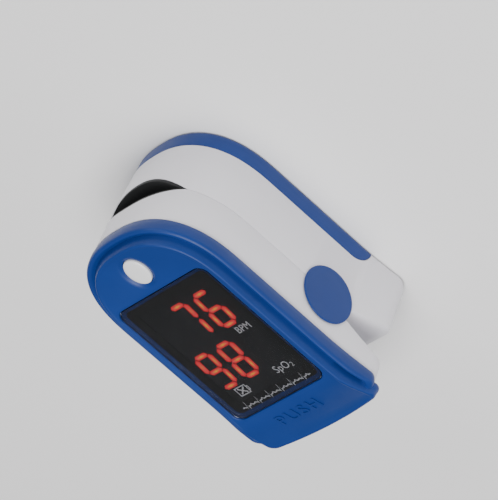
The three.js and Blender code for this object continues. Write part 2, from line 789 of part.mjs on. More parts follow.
function makeTray() {
  const reach = outline({ ...baseSpec(shell.wall + 0.25, compartmentEnd + 1.0, 1.6, 0), flare: 0 });
  const core = box(-trayHalf, trayHalf, plan.front, compartmentEnd + 1.0, trayBottom, trayTop);
  const roof = box(-SPAN, SPAN, plan.front, compartmentEnd - 7, trayTop - 1.2, trayTop);
  let body = join(core, roof).intersect(prism(reach, 0, 20));
  const slopeTop = across(
    [
      [compartmentEnd - 7, lowerLine(compartmentEnd - 7)],
      [compartmentEnd - 4, lowerLine(compartmentEnd - 4) - 1.45],
      [compartmentEnd + 2, lowerLine(compartmentEnd + 2) - 1.45],
      [compartmentEnd + 2, lowerLine(compartmentEnd - 7)],
    ],
    -SPAN,
    SPAN,
  );
  const heel = across(
    [
      [compartmentEnd + 0.1, 0],
      [compartmentEnd + 2, 0],
      [compartmentEnd + 2, trayBottom + 3.8],
      [compartmentEnd + 0.1, trayBottom],
    ],
    -SPAN,
    SPAN,
  );
  body = body.subtract(slopeTop).subtract(heel);
  for (const [, side] of SIDES_OF_X) {
    const x = side * cellX;
    const room = cell.radius + 0.12;
    body = body.subtract(barY(room, x, cell.front, compartmentEnd, cellZ));
    body = body.subtract(box(x - room, x + room, cell.front, compartmentEnd, 0, cellZ));
    const { x: lugX, y, seat } = trayScrew;
    const lugRoom = box(side * lugX - 2.2, side * lugX + 2.2, y - 6, y + 1.75, seat - FIT, trayTop + 1);
    body = body.subtract(lugRoom);
    body = body.subtract(barZ(screw.shank + 0.15, side * lugX, y, 0, 10));
    body = body.subtract(barZ(screw.head + 0.15, side * lugX, y, 0, trayBottom + screw.headHeight + 0.3));
    const [near, far] = [trayHalf - track.depth, trayHalf + 0.7];
    const [g0, g1] = side < 0 ? [-far, -near] : [near, far];
    body = body.subtract(box(g0, g1, plan.front, door.end, track.low, track.high));
  }
  for (const y of [cell.front, compartmentEnd - cell.plate - 0.1]) {
    body = body.subtract(box(-cellX - 4.8, cellX + 4.8, y, y + cell.plate + 0.1, 0, cellZ + 4.2));
  }
  const dip = barY(groove.radius, 0, plan.front, pad.end + 4, trayTop + groove.lift);
  const cableWell = box(-2.0, 2.0, ribbon.drop - 4, ribbon.drop + 1.6, trayTop - 1.85, 30);
  const boardSlot = box(-1.9, 1.9, pad.sensorY - 3.1, ribbon.drop + 1.6, trayTop - 1.85, trayTop - 0.95);
  const lampWell = box(-1.6, 1.6, pad.sensorY - 1.9, pad.sensorY + 1.9, trayTop - 1.85, 30);
  return body.subtract(dip).subtract(cableWell).subtract(boardSlot).subtract(lampWell);
}

function makeLowerPad() {
  const side = COVER_WIDTH / 2 - shell.inset - shell.wall - 0.75;
  const high = shell.parting - 0.2;
  const arch = mouthArch(-(shell.mouthDrop - 0.15), shell.mouthHalf - 0.1).map(([x, z]) => [x, Math.min(z, high)]);
  const gap = 0.08;
  const base = trayTop + gap;
  const keelHalf = Math.sqrt(groove.radius ** 2 - groove.lift ** 2);
  const keel = Array.from({ length: 9 }, (_, i) => {
    const x = keelHalf * (i / 4 - 1);
    return [x, base + groove.lift - Math.sqrt(groove.radius ** 2 - x * x)];
  });
  const profile = [[-side, base], ...keel, [side, base], [side, high], ...arch, [-side, high]];
  const room = outline({ ...baseSpec(shell.wall + FIT, pad.end, 2, 0), flare: 0 });
  const body = along(profile, plan.front, pad.end).intersect(prism(room, 5, 30));
  const stop = along(
    [
      [-9, shell.parting - 3],
      [9, shell.parting - 3],
      [9, pad.stopTop - 1],
      [8, pad.stopTop],
      [-8, pad.stopTop],
      [-9, pad.stopTop - 1],
    ],
    pad.end - pad.stopThickness,
    pad.end,
  );
  return join(body, stop).subtract(box(-2.2, 2.2, pad.sensorY - 2.6, pad.sensorY + 2.6, 5, 30));
}

// A tube that follows a curve.
function tube(curve, radius, sides, steps) {
  const section = new THREE.Shape();
  section.absarc(0, 0, radius, 0, Math.PI * 2);
  const points = section.getPoints(sides / 2).slice(0, -1);
  const ring = new THREE.Shape(points);
  return solid(new THREE.ExtrudeGeometry(ring, { extrudePath: curve, steps, bevelEnabled: false }));
}

// A coil round the axle with two straight legs that press the tails apart.
class TorsionSpring extends THREE.Curve {
  constructor(x0, pitch) {
    super();
    Object.assign(this, { x0, pitch });
    this.leg = 9.2;
    this.start = THREE.MathUtils.degToRad(67);
    this.end = THREE.MathUtils.degToRad(-63 + 360 * hinge.turns);
    this.arc = hinge.coil * (this.end - this.start);
  }
  getPoint(t, target = new THREE.Vector3()) {
    const whole = this.arc + 2 * this.leg;
    const s = t * whole - this.leg;
    const turned = Math.min(Math.max(s / this.arc, 0), 1);
    const angle = this.start + (this.end - this.start) * turned;
    const over = s < 0 ? s : Math.max(s - this.arc, 0);
    return target.set(
      this.x0 + this.pitch * turned,
      hinge.y + hinge.coil * Math.cos(angle) - over * Math.sin(angle),
      hinge.z + hinge.coil * Math.sin(angle) + over * Math.cos(angle),
    );
  }
}

// A conical contact spring along Y.
class ContactSpring extends THREE.Curve {
  constructor(x, y0, y1, turns) {
    super();
    Object.assign(this, { x, y0, y1, turns });
  }
  getPoint(t, target = new THREE.Vector3()) {
    const angle = Math.PI * 2 * this.turns * t;
    const radius = 3.2 - 1.3 * t;
    return target.set(
      this.x + radius * Math.cos(angle),
      this.y0 + (this.y1 - this.y0) * t,
      cellZ + radius * Math.sin(angle),
    );
  }
}

// One cell: direction +1 points its raised terminal at the squeezed end.
function makeCell(x, y, direction) {
  const profile = [
    [0, 0],
    [cell.radius - 0.4, 0],
    [cell.radius, 0.4],
    [cell.radius, cell.length - 0.4],
    [cell.radius - 0.4, cell.length],
    [cell.terminalRadius, cell.length],
    [cell.terminalRadius, cell.length + cell.terminal],
    [0, cell.length + cell.terminal],
  ].map(([r, h]) => new THREE.Vector2(r, h));
  const geometry = new THREE.LatheGeometry(profile, 20);
  if (direction < 0) geometry.rotateX(Math.PI);
  return solid(geometry.translate(x, y, cellZ));
}

function makePower() {
  const inner = cell.front + cell.plate + 0.05;
  const far = compartmentEnd - cell.plate - 0.05;
  const plateEdge = cellX + 4.6;
  const plateBox = (x0, x1, y) => box(x0, x1, y, y + cell.plate - 0.05, trayBottom + 0.4, cellZ + 4.1);
  place("battery_left", makeCell(-cellX, inner + cell.terminal + cell.length, -1), CELL_SLEEVE);
  place("battery_right", makeCell(cellX, far - cell.terminal - cell.length, 1), CELL_SLEEVE);
  place("link_contact", plateBox(-plateEdge, plateEdge, cell.front + 0.05), STEEL);
  place("negative_contact", plateBox(-plateEdge, -1, far + 0.02), STEEL);
  place("positive_contact", plateBox(1, plateEdge, far + 0.02), STEEL);
  const wire = 0.28;
  const rear = new ContactSpring(-cellX, far - wire - 0.03, inner + cell.terminal + cell.length + wire + 0.05, 3.5);
  const front = new ContactSpring(cellX, inner + wire + 0.03, far - cell.terminal - cell.length - wire - 0.05, 3.5);
  place("contact_spring_rear", tube(rear, wire, 6, 42), STEEL);
  place("contact_spring_front", tube(front, wire, 6, 42), STEEL);
}

// A flat ribbon that runs from the circuit board, past the axle, to the emitter board.
function makeFlexCable() {
  const route = new THREE.CatmullRomCurve3(
    [
      [2.9, board.bottom - 0.5],
      [1.6, board.bottom - 0.55],
      [0.5, shell.upperFloor + 0.4],
      [0.1, shell.upperFloor - 1.8],
      [0, hinge.z],
      [0, trayTop + 1.6],
      [-0.4, trayTop - 0.35],
      [-1.6, trayTop - 1.13],
      [-3, trayTop - 1.13],
    ].map(([y, z]) => new THREE.Vector3(0, ribbon.drop + y, z)),
  );
  const points = route.getPoints(22);
  const half = ribbon.thickness / 2;
  const edge = (side) =>
    points.map((point, i) => {
      const tangent = route.getTangent(i / (points.length - 1));
      return [point.y - side * half * tangent.z, point.z + side * half * tangent.y];
    });
  return across([...edge(1), ...edge(-1).reverse()].reverse(), -ribbon.half, ribbon.half);
}

function makeHingeParts() {
  const face = COVER_WIDTH / 2 - shell.inset;
  place("hinge_axle", barX(hinge.axle, -face + 1, face - 1, hinge.y, hinge.z, FINE_SIDES), STEEL);
  const pitch = 2 * hinge.wire + 0.1;
  for (const [name, side] of SIDES_OF_X) {
    const start = side * (hinge.springX + (pitch * hinge.turns) / 2);
    const spring = new TorsionSpring(start, -side * pitch * hinge.turns);
    place("torsion_spring_" + name, tube(spring, hinge.wire, 6, 84), STEEL);
    const [near, far] = [face + 0.1, face + hinge.capProud];
    const cap = new THREE.LatheGeometry(
      [
        [0, near - 0.9],
        [1.85, near - 0.9],
        [1.85, near],
        [hinge.capRadius, near],
        [hinge.capRadius, far - 0.18],
        [hinge.capRadius - 0.45, far],
        [0, far],
      ].map(([r, h]) => new THREE.Vector2(r, h)),
      36,
    );
    cap.rotateZ((-side * Math.PI) / 2).translate(0, hinge.y, hinge.z);
    place("pivot_cap_" + name, solid(cap), BLUE);
  }
  place("flex_cable", makeFlexCable(), AMBER);
}

function makeBatteryCover() {
  const lip = door.height;
  const shape = loft([
    baseSpec(0.9, plan.end - 3, 2, 0),
    baseSpec(0.25, plan.end - 3, 2, 0.25),
    baseSpec(-0.05, plan.end - 3, 2, 0.9),
    baseSpec(-0.1, plan.end - 3, 2, lip),
  ]);
  const sideView = across(
    [[plan.front - 2, 0], [door.end, 0], ...bandEnd(0).reverse(), [plan.front - 2, lip]],
    -SPAN,
    SPAN,
  );
  const inside = prism(baseInside, door.skin, 20);
  let body = shape.intersect(sideView).subtract(inside);
  for (const [, side] of SIDES_OF_X) {
    const [tip, stem, back] = [trayHalf - track.depth + 0.2, trayHalf + 0.25, trayHalf + 1.1];
    const hook = [
      [stem, door.skin - 0.3],
      [back, door.skin - 0.3],
      [back, track.high - 0.2],
      [tip, track.high - 0.2],
      [tip, track.low + 0.2],
      [stem, track.low + 0.2],
    ];
    const profile = side > 0 ? hook : hook.map(([x, z]) => [-x, z]).reverse();
    body = body.add(along(profile, door.end - 25, door.end - 4.2));
  }
  for (let i = 0; i < door.grips; i++) {
    const y = cell.front + 3.5 + i * door.gripPitch;
    body = body.subtract(
      across(
        [[y, -0.1], [y + 0.9, -0.1], [y + 0.6, door.gripDepth], [y + 0.3, door.gripDepth]],
        -6 - i * 0.6,
        6 + i * 0.6,
      ),
    );
  }
  return body;
}

function makeBatteryHalf() {
  place("lower_shell", makeLowerShell(), WHITE);
  place("battery_tray", makeTray(), TRAY_WHITE);
  place("lower_finger_pad", makeLowerPad(), SILICONE);
  const boardBase = trayTop - 1.8;
  const emitterBoard = box(-1.8, 1.8, pad.sensorY - 3, ribbon.drop - 0.6, boardBase, boardBase + 0.5);
  place("emitter_board", emitterBoard, BOARD_GREEN);
  const lampTop = trayTop - 0.2;
  const lamp = box(-1.45, 1.45, pad.sensorY - 1.75, pad.sensorY + 1.75, boardBase + 0.52, lampTop);
  place("emitter_led", lamp, CLEAR);
  const lens = box(-2.0, 2.0, pad.sensorY - 2.4, pad.sensorY + 2.4, trayTop + 0.05, trayTop + 0.75);
  place("emitter_window", lens, CLEAR);
  makePower();
  makeHingeParts();
  for (const [name, side] of SIDES_OF_X) {
    const { x, y } = trayScrew;
    const head = barZ(screw.head, side * x, y, trayBottom + 0.2, trayBottom + 0.25 + screw.headHeight);
    const shank = barZ(screw.shank - 0.05, side * x, y, trayBottom + 1, trayTop - 1.5);
    place("tray_screw_" + name, join(head, shank), STEEL);
  }
  place("battery_cover", makeBatteryCover(), BLUE);
}

makeDisplayHalf();
makeBatteryHalf();

export default root;
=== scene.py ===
"""The finish of a fingertip pulse oximeter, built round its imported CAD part.

Sizes inside the classes are millimetres; a piece becomes metres when it is placed.
"Left" is -X and "right" is +X; the finger goes in at the -Y end.
"""

import json
import logging
import math
from dataclasses import dataclass
from enum import Enum
from typing import Callable, Sequence

import bmesh
import bpy
import numpy as np
from mathutils import Matrix, Vector


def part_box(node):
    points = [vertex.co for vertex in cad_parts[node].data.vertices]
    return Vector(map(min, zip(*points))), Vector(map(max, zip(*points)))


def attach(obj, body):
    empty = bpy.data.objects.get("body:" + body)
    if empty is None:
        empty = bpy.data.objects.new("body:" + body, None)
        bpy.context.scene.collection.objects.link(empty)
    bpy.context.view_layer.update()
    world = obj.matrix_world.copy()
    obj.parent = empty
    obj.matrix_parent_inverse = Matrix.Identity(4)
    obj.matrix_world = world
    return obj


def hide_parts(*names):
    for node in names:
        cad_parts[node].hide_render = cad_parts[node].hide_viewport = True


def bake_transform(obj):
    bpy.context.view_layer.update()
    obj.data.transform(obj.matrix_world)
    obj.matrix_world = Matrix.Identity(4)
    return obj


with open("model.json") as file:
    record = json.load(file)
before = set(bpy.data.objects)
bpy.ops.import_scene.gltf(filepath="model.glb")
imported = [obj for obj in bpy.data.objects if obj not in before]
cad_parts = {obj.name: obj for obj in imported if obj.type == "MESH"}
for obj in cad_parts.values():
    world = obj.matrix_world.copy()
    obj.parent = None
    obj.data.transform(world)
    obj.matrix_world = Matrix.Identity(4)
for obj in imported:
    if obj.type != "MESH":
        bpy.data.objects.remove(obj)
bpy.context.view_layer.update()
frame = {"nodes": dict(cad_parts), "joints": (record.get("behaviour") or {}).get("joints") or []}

LOG = logging.getLogger("oximeter")
MM = 0.001
COAT_ROUGHNESS = 0.12
PILOT = 0.8  # radius of a hole that a screw cuts its thread in, in mm
CLEARANCE_HOLE = 0.95  # radius of a hole that a screw's shank passes through, in mm
HEAD_ROOM = 1.7  # radius of the room round a screw's head, in mm
RIBBON_LEAD = 2.9  # how far the ribbon's end on the circuit board lies behind its upright run, in mm
GLOSS_PATCH = 6  # size of the patches in which the gloss varies, in mm

Points = np.ndarray
SlopedHeight = Callable[[Points], Points]


class Body(Enum):
    """The bodies that a piece can ride on."""

    BATTERY = "battery_half"
    DISPLAY = "display_half"
    BUTTON = "button"
    DOOR = "battery_door"


class Join(Enum):
    """How one solid meets another."""

    ADD = "UNION"
    CUT = "DIFFERENCE"
    KEEP = "INTERSECT"


class Axis(Enum):
    """The direction in which an outline is drawn out."""

    X = 0
    Y = 1
    Z = 2


def node_box(name: str) -> tuple[Vector, Vector]:
    """The lowest and highest corner of a CAD node, in millimetres."""
    low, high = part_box(name)
    return low / MM, high / MM


def middle(name: str) -> tuple[float, float, float]:
    """The middle of a CAD node's box, in millimetres."""
    low, high = node_box(name)
    return tuple((a + b) / 2 for a, b in zip(low, high))


def link(name: str, data: bpy.types.ID) -> bpy.types.Object:
    """Makes an object of a mesh, a curve, a light or a camera and puts it in the scene."""
    made = bpy.data.objects.new(name, data)
    bpy.context.scene.collection.objects.link(made)
    return made


# ---------------------------------------------------------------- materials


def linear(colour: str) -> tuple[float, float, float, float]:
    """An sRGB hex colour as linear values.

    Args:
        colour: six hex digits after a "#".

    Returns:
        Red, green, blue and an alpha of 1.
    """
    parts = [int(colour[i : i + 2], 16) / 255 for i in (1, 3, 5)]
    turned = [c / 12.92 if c <= 0.04045 else ((c + 0.055) / 1.055) ** 2.4 for c in parts]
    return (*turned, 1.0)


def add(
    tree: bpy.types.NodeTree, kind: str, links: dict | None = None, inputs: dict | None = None,
    **settings: object,
) -> bpy.types.Node:
    """Adds one node.

    Args:
        tree: the tree that gets it.
        kind: the node's type.
        links: from an input's name or number to the output socket that feeds it.
        inputs: from an input's name or number to its fixed value.
        settings: properties of the node itself.

    Returns:
        The new node.
    """
    node = tree.nodes.new(kind)
    for name, value in settings.items():
        setattr(node, name, value)
    for name, value in (inputs or {}).items():
        node.inputs[name].default_value = value
    for name, socket in (links or {}).items():
        tree.links.new(socket, node.inputs[name])
    return node


@dataclass(frozen=True)
class Finish:
    """An opaque surface with a fine grain, a slight drift of its colour and uneven gloss."""

    name: str
    colour: str
    roughness: float
    grain: float  # spacing of the surface's grain, in mm
    depth: float  # height of the grain, in mm
    drift: float = 0.06  # share by which the colour varies
    drift_size: float = 14.0  # size of the colour's patches, in mm
    uneven: float = 0.08  # how far the roughness varies
    metallic: float = 0.0
    ior: float = 1.5
    coat: float = 0.0
    sheen: float = 0.0
    specular: float = 0.5  # 0.5 is the whole of what the IOR gives
    stretch: tuple[float, float, float] = (1.0, 1.0, 1.0)  # of the grain, below 1 along a brushed direction

    def colour_socket(self, tree: bpy.types.NodeTree, place: bpy.types.NodeSocket) -> bpy.types.NodeSocket:
        """The colour, which drifts between a darker and a lighter tone."""
        noise = add(
            tree, "ShaderNodeTexNoise", {"Vector": place},
            {"Scale": 1 / (self.drift_size * MM), "Detail": 3.0},
        )
        base = linear(self.colour)
        ramp = add(tree, "ShaderNodeValToRGB", {"Fac": noise.outputs["Fac"]})
        for stop, share in zip(ramp.color_ramp.elements, (1 - self.drift, 1 + self.drift)):
            stop.color = (*[min(c * share, 1.0) for c in base[:3]], 1.0)
        ramp.color_ramp.elements[0].position, ramp.color_ramp.elements[1].position = 0.3, 0.7
        return ramp.outputs["Color"]

    def material(self) -> bpy.types.Material:
        """The Blender material, made once.

        Returns:
            A material whose nodes read Object coordinates.
        """
        found = bpy.data.materials.get(self.name)
        if found:
            return found
        made = bpy.data.materials.new(self.name)
        made.use_nodes = True
        made.diffuse_color = linear(self.colour)
        tree = made.node_tree
        shader = tree.nodes["Principled BSDF"]
        place = add(tree, "ShaderNodeTexCoord").outputs["Object"]
        for name, value in (
            ("Metallic", self.metallic),
            ("IOR", self.ior),
            ("Specular IOR Level", self.specular),
            ("Coat Weight", self.coat),
            ("Coat Roughness", COAT_ROUGHNESS),
            ("Sheen Weight", self.sheen),
        ):
            shader.inputs[name].default_value = value
        tree.links.new(self.colour_socket(tree, place), shader.inputs["Base Color"])
        wide = add(
            tree, "ShaderNodeTexNoise", {"Vector": place},
            {"Scale": 1 / (GLOSS_PATCH * MM), "Detail": 4.0},
        )
        gloss = add(
            tree,
            "ShaderNodeMapRange",
            {"Value": wide.outputs["Fac"]},
            {
                "From Min": 0.3, "From Max": 0.7, "To Min": self.roughness - self.uneven / 2,
                "To Max": self.roughness + self.uneven / 2,
            },
        )
        tree.links.new(gloss.outputs["Result"], shader.inputs["Roughness"])
        spread = add(tree, "ShaderNodeMapping", {"Vector": place}, {"Scale": self.stretch})
        fine = add(
            tree, "ShaderNodeTexNoise", {"Vector": spread.outputs["Vector"]},
            {"Scale": 1 / (self.grain * MM), "Detail": 2.0},
        )
        bump = add(
            tree,
            "ShaderNodeBump",
            {"Height": fine.outputs["Fac"]},
            {"Strength": 1.0, "Distance": self.depth * MM},
        )
        tree.links.new(bump.outputs["Normal"], shader.inputs["Normal"])
        self.dress(tree, shader, place)
        return made

    def dress(self, tree: bpy.types.NodeTree, shader: bpy.types.Node, place: bpy.types.NodeSocket) -> None:
        """Adds what one kind of finish has over the plain one; nothing here."""


@dataclass(frozen=True)
class Glow(Finish):
    """A lamp segment: a hot middle in a red, lit edge, from the mesh's "glow" attribute."""

    edge: str = "#d8141c"
    middle: str = "#ff4048"
    core: str = "#ffc828"
    strength: float = 1.0

    def dress(self, tree: bpy.types.NodeTree, shader: bpy.types.Node, place: bpy.types.NodeSocket) -> None:
        """Adds the light that the segment gives off."""
        glow = add(tree, "ShaderNodeAttribute", attribute_name="glow")
        ramp = add(tree, "ShaderNodeValToRGB", {"Fac": glow.outputs["Fac"]})
        ramp.color_ramp.elements[0].color = linear(self.edge)
        ramp.color_ramp.elements[1].color = linear(self.core)
        between = ramp.color_ramp.elements.new(0.6)
        between.color = linear(self.middle)
        tree.links.new(ramp.outputs["Color"], shader.inputs["Emission Color"])
        shader.inputs["Emission Strength"].default_value = self.strength


@dataclass(frozen=True)
class Clear(Finish):
    """A clear or smoked plastic that light passes through."""

    through: float = 1.0

    def dress(self, tree: bpy.types.NodeTree, shader: bpy.types.Node, place: bpy.types.NodeSocket) -> None:
        """Lets light through."""
        shader.inputs["Transmission Weight"].default_value = self.through


@dataclass(frozen=True)
class Sleeve(Finish):
    """A cell's printed film, banded along its length."""

    band: str = "#b07a3c"
    edge: float = 0.0  # where the band starts, in mm along Y
    side: float = 0.0  # the X that parts the two cells, which lie opposite ways

    def dress(self, tree: bpy.types.NodeTree, shader: bpy.types.Node, place: bpy.types.NodeSocket) -> None:
        """Paints the end band over the film's own colour."""
        parts = add(tree, "ShaderNodeSeparateXYZ", {"Vector": place})
        turned = add(tree, "ShaderNodeMath", {0: parts.outputs["X"]}, operation="SIGN")
        centred = add(
            tree, "ShaderNodeMath", {0: parts.outputs["Y"]}, {1: self.edge * MM}, operation="SUBTRACT",
        )
        along = add(
            tree, "ShaderNodeMath", {0: turned.outputs[0], 1: centred.outputs[0]}, operation="MULTIPLY",
        )
        mask = add(
            tree, "ShaderNodeMapRange", {"Value": along.outputs[0]},
            {"From Min": 10.0 * MM, "From Max": 10.2 * MM},
        )
        own = shader.inputs["Base Color"].links[0].from_socket
        mixed = add(
            tree,
            "ShaderNodeMix",
            {0: mask.outputs["Result"], 6: own},
            {7: linear(self.band)},
            data_type="RGBA",
        )
        tree.links.new(mixed.outputs[2], shader.inputs["Base Color"])


@dataclass(frozen=True)
class Laminate(Finish):
    """A circuit board: copper tracks under solder mask."""

    track: str = "#2c8a58"
    pitch: float = 1.3  # spacing of the tracks, in mm

    def dress(self, tree: bpy.types.NodeTree, shader: bpy.types.Node, place: bpy.types.NodeSocket) -> None:
        """Lays stepped tracks in the mask's colour."""
        own = shader.inputs["Base Color"].links[0].from_socket
        cells = add(
            tree,
            "ShaderNodeTexVoronoi",
            {"Vector": place},
            {"Scale": 1 / (2.2 * self.pitch * MM), "Randomness": 0.7},
            distance="MANHATTAN",
            feature="F1",
        )
        lines = add(tree, "ShaderNodeMath", {0: cells.outputs["Distance"]}, {1: 6.0}, operation="MULTIPLY")
        wave = add(tree, "ShaderNodeMath", {0: lines.outputs[0]}, {1: 1.0}, operation="PINGPONG")
        mask = add(
            tree, "ShaderNodeMapRange", {"Value": wave.outputs[0]}, {"From Min": 0.45, "From Max": 0.55},
        )
        mixed = add(
            tree,
            "ShaderNodeMix",
            {0: mask.outputs["Result"], 6: own},
            {7: linear(self.track)},
            data_type="RGBA",
        )
        tree.links.new(mixed.outputs[2], shader.inputs["Base Color"])


# Moulded ABS in solid blue: spark-eroded tool texture, a satin gloss and soft highlights along its edges.
BLUE_ABS = Finish("blue_moulded_abs", "#13357a", 0.4, grain=0.3, depth=0.006, ior=1.53, specular=0.28)
# Moulded ABS in white: the same tool texture, a little smoother.
WHITE_ABS = Finish(
    "white_moulded_abs", "#eceaf0", 0.4, grain=0.35, depth=0.004, drift=0.015, ior=1.53, coat=0.05,
)
# Inner ABS with no gloss, a shade warmer than the shells.
TRAY_ABS = Finish("tray_moulded_abs", "#cfd0cf", 0.55, grain=0.25, depth=0.008, drift=0.02, ior=1.53)
# Polished ABS of the button.
BUTTON_ABS = Finish(
    "polished_white_abs", "#efeff0", 0.28, grain=0.6, depth=0.002, drift=0.01, ior=1.53, coat=0.15,
)
# Silicone rubber cast in a blasted mould: dark, matt, with a faint bloom of dust.
SILICONE = Finish(
    "black_cast_silicone", "#1b1c1e", 0.72, grain=0.3, depth=0.012, drift=0.15, ior=1.41, sheen=0.12,
)
# Polished acrylic with a smoke tint.
SMOKED_ACRYLIC = Clear(
    "smoked_polished_acrylic", "#c9cacd", 0.04, grain=6.0, depth=0.0001, drift=0.01, uneven=0.02,
    ior=1.49,
)
# Matt black ink printed on the back of the window.
MASK_INK = Finish("matt_black_ink", "#0a0a0c", 0.5, grain=0.2, depth=0.002, drift=0.05)
# Epoxy-filled lamp module, dark grey and dull.
MODULE_EPOXY = Finish("grey_filled_epoxy", "#1b1c1f", 0.6, grain=0.2, depth=0.004, drift=0.05)
# Lit lamp segments.
SEGMENT_LAMP = Glow("lit_red_segment", "#5a0f0c", 0.45, grain=0.3, depth=0.001, strength=1.15)
# Pale ink of the printed labels.
LABEL_INK = Finish("pale_screen_ink", "#fbfbfd", 0.5, grain=0.15, depth=0.002, drift=0.02)
# Clear epoxy of the lamp and of the windows over the lamp and the sensor.
CLEAR_EPOXY = Clear(
    "clear_cast_epoxy", "#e6eef0", 0.08, grain=1.0, depth=0.0008, drift=0.01, uneven=0.02, ior=1.54,
)
# Glass-fibre laminate under green solder mask.
SOLDER_MASK = Laminate("green_solder_mask", "#17603c", 0.38, grain=0.15, depth=0.003, drift=0.05)
# Moulded chip resin, black and finely sandy.
CHIP_RESIN = Finish("black_chip_resin", "#1c1c1f", 0.6, grain=0.1, depth=0.006, drift=0.08)
# Turned and zinc-plated steel.
PLATED_STEEL = Finish(
    "zinc_plated_steel", "#b9bdc2", 0.3, grain=0.12, depth=0.002, drift=0.05, drift_size=3.0,
    metallic=1.0,
)
# Drawn spring wire.
SPRING_WIRE = Finish(
    "drawn_spring_wire", "#a9adb3", 0.26, grain=0.1, depth=0.002, drift=0.06, drift_size=2.0,
    metallic=1.0,
)
# Rolled and nickel-plated strip, brushed along its width.
NICKEL_STRIP = Finish(
    "rolled_nickel_strip", "#c6c2b8", 0.28, grain=0.1, depth=0.002, metallic=1.0, stretch=(0.1, 1.0, 1.0),
)
# Printed shrink film on a cell.
CELL_FILM = Sleeve(
    "printed_shrink_film", "#23262b", 0.3, grain=0.5, depth=0.001, drift=0.05, metallic=0.2, coat=0.3,
)
# Polyimide ribbon, amber and slightly glossy.
POLYIMIDE = Finish("amber_polyimide_film", "#b06a1a", 0.32, grain=0.2, depth=0.002, drift=0.08, ior=1.7)
# Smooth painted board that the object stands on.
BOARD_PAINT = Finish(
    "pale_painted_board", "#f6f5f5", 0.85, grain=1.5, depth=0.004, drift=0.006, drift_size=60.0,
)

# ---------------------------------------------------------------- solids


class Solid:
    """A closed mesh in millimetres that is joined, cut and then placed."""

    def __init__(self, points: Sequence, faces: Sequence, outward: bool = True) -> None:
        """Makes the mesh.

        Args:
            points: its corners, in mm.
            faces: its faces, as lists of corner numbers.
            outward: turns every face outwards.
        """
        self.mesh = bpy.data.meshes.new("solid")
        self.mesh.from_pydata([tuple(map(float, p)) for p in points], [], [list(map(int, f)) for f in faces])
        if outward:
            work = bmesh.new()
            work.from_mesh(self.mesh)
            bmesh.ops.remove_doubles(work, verts=work.verts, dist=1e-5)
            bmesh.ops.recalc_face_normals(work, faces=work.faces)
            work.to_mesh(self.mesh)
            work.free()

    def combine(self, join: Join, *others: "Solid") -> "Solid":
        """Joins, cuts or keeps by other solids, one after another.

        Args:
            join: what the others do to this solid.
            others: the solids that act on it.

        Returns:
            This solid, changed.
        """
        body = bpy.data.objects.new("body", self.mesh)
        bpy.context.scene.collection.objects.link(body)
        tools = []
        for other in others:
            tool = bpy.data.objects.new("tool", other.mesh)
            bpy.context.scene.collection.objects.link(tool)
            tools.append(tool)
            modifier = body.modifiers.new("join", "BOOLEAN")
            modifier.operation = join.value
            modifier.solver = "MANIFOLD"
            modifier.object = tool
        graph = bpy.context.evaluated_depsgraph_get()
        self.mesh = bpy.data.meshes.new_from_object(body.evaluated_get(graph))
        for used in (body, *tools):
            bpy.data.objects.remove(used)
        if not self.mesh.polygons:
            raise ValueError("a join left nothing: one of its solids is not closed")
        return self

    def add(self, *others: "Solid") -> "Solid":
        """Joins other solids to this one."""
        return self.combine(Join.ADD, *others)

    def cut(self, *others: "Solid") -> "Solid":
        """Takes other solids out of this one."""
        return self.combine(Join.CUT, *others)

    def keep(self, *others: "Solid") -> "Solid":
        """Keeps only what lies inside the other solids."""
        return self.combine(Join.KEEP, *others)

    def place(
        self,
        name: str,
        body: Body,
        finish: Finish,
        slot: str,
        replaces: Sequence[str] = (),
        edge: float = 0.0,
        crease: float = 32.0,
    ) -> bpy.types.Object:
        """Rounds the edges, turns the mesh to metres and puts it on its body.

        Args:
            name: the piece's name.
            body: what it rides on.
            finish: what it is made of.
            slot: the name of the record's material slot; not used.
            replaces: the CAD nodes it stands for.
            edge: width of the rounding on its sharp edges, in mm, or 0.
            crease: the angle past which an edge is sharp, in degrees.

        Returns:
            The placed object.
        """
        piece = bpy.data.objects.new(name, self.mesh)
        self.mesh.name = name
        bpy.context.scene.collection.objects.link(piece)
        work = bmesh.new()
        work.from_mesh(self.mesh)
        bmesh.ops.remove_doubles(work, verts=work.verts, dist=0.004)
        bmesh.ops.dissolve_degenerate(work, edges=work.edges, dist=0.003)
        work.to_mesh(self.mesh)
        work.free()
        if edge:
            bevel = piece.modifiers.new("round", "BEVEL")
            bevel.width, bevel.segments = edge, 2
            bevel.limit_method, bevel.angle_limit = "ANGLE", math.radians(crease)
            bevel.use_clamp_overlap, bevel.miter_outer = True, "MITER_ARC"
            graph = bpy.context.evaluated_depsgraph_get()
            piece.data = bpy.data.meshes.new_from_object(piece.evaluated_get(graph))
            piece.modifiers.clear()
        piece.data.transform(Matrix.Scale(MM, 4))
        return settle(piece, body, finish, replaces, crease)


def settle(
    piece: bpy.types.Object,
    body: Body | None,
    finish: Finish,
    replaces: Sequence[str] = (),
    crease: float = 32.0,
) -> bpy.types.Object:
    """Shades a piece that is already in metres, dresses it and puts it on its body.

    Args:
        piece: the object.
        body: what it rides on, or None for a piece that spans two bodies and rides on neither.
        finish: what it is made of.
        replaces: the CAD nodes it stands for.
        crease: the angle past which an edge is sharp, in degrees.

    Returns:
        The same object.
    """
    piece.data.materials.clear()
    piece.data.materials.append(finish.material())
    piece.data.polygons.foreach_set("use_smooth", [True] * len(piece.data.polygons))
    piece.data.polygons.foreach_set("material_index", [0] * len(piece.data.polygons))
    piece.data.set_sharp_from_angle(angle=math.radians(crease))
    if body:
        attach(piece, body.value)
    if replaces:
        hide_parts(*replaces)
    LOG.info("%s: %d faces", piece.name, len(piece.data.polygons))
    return piece


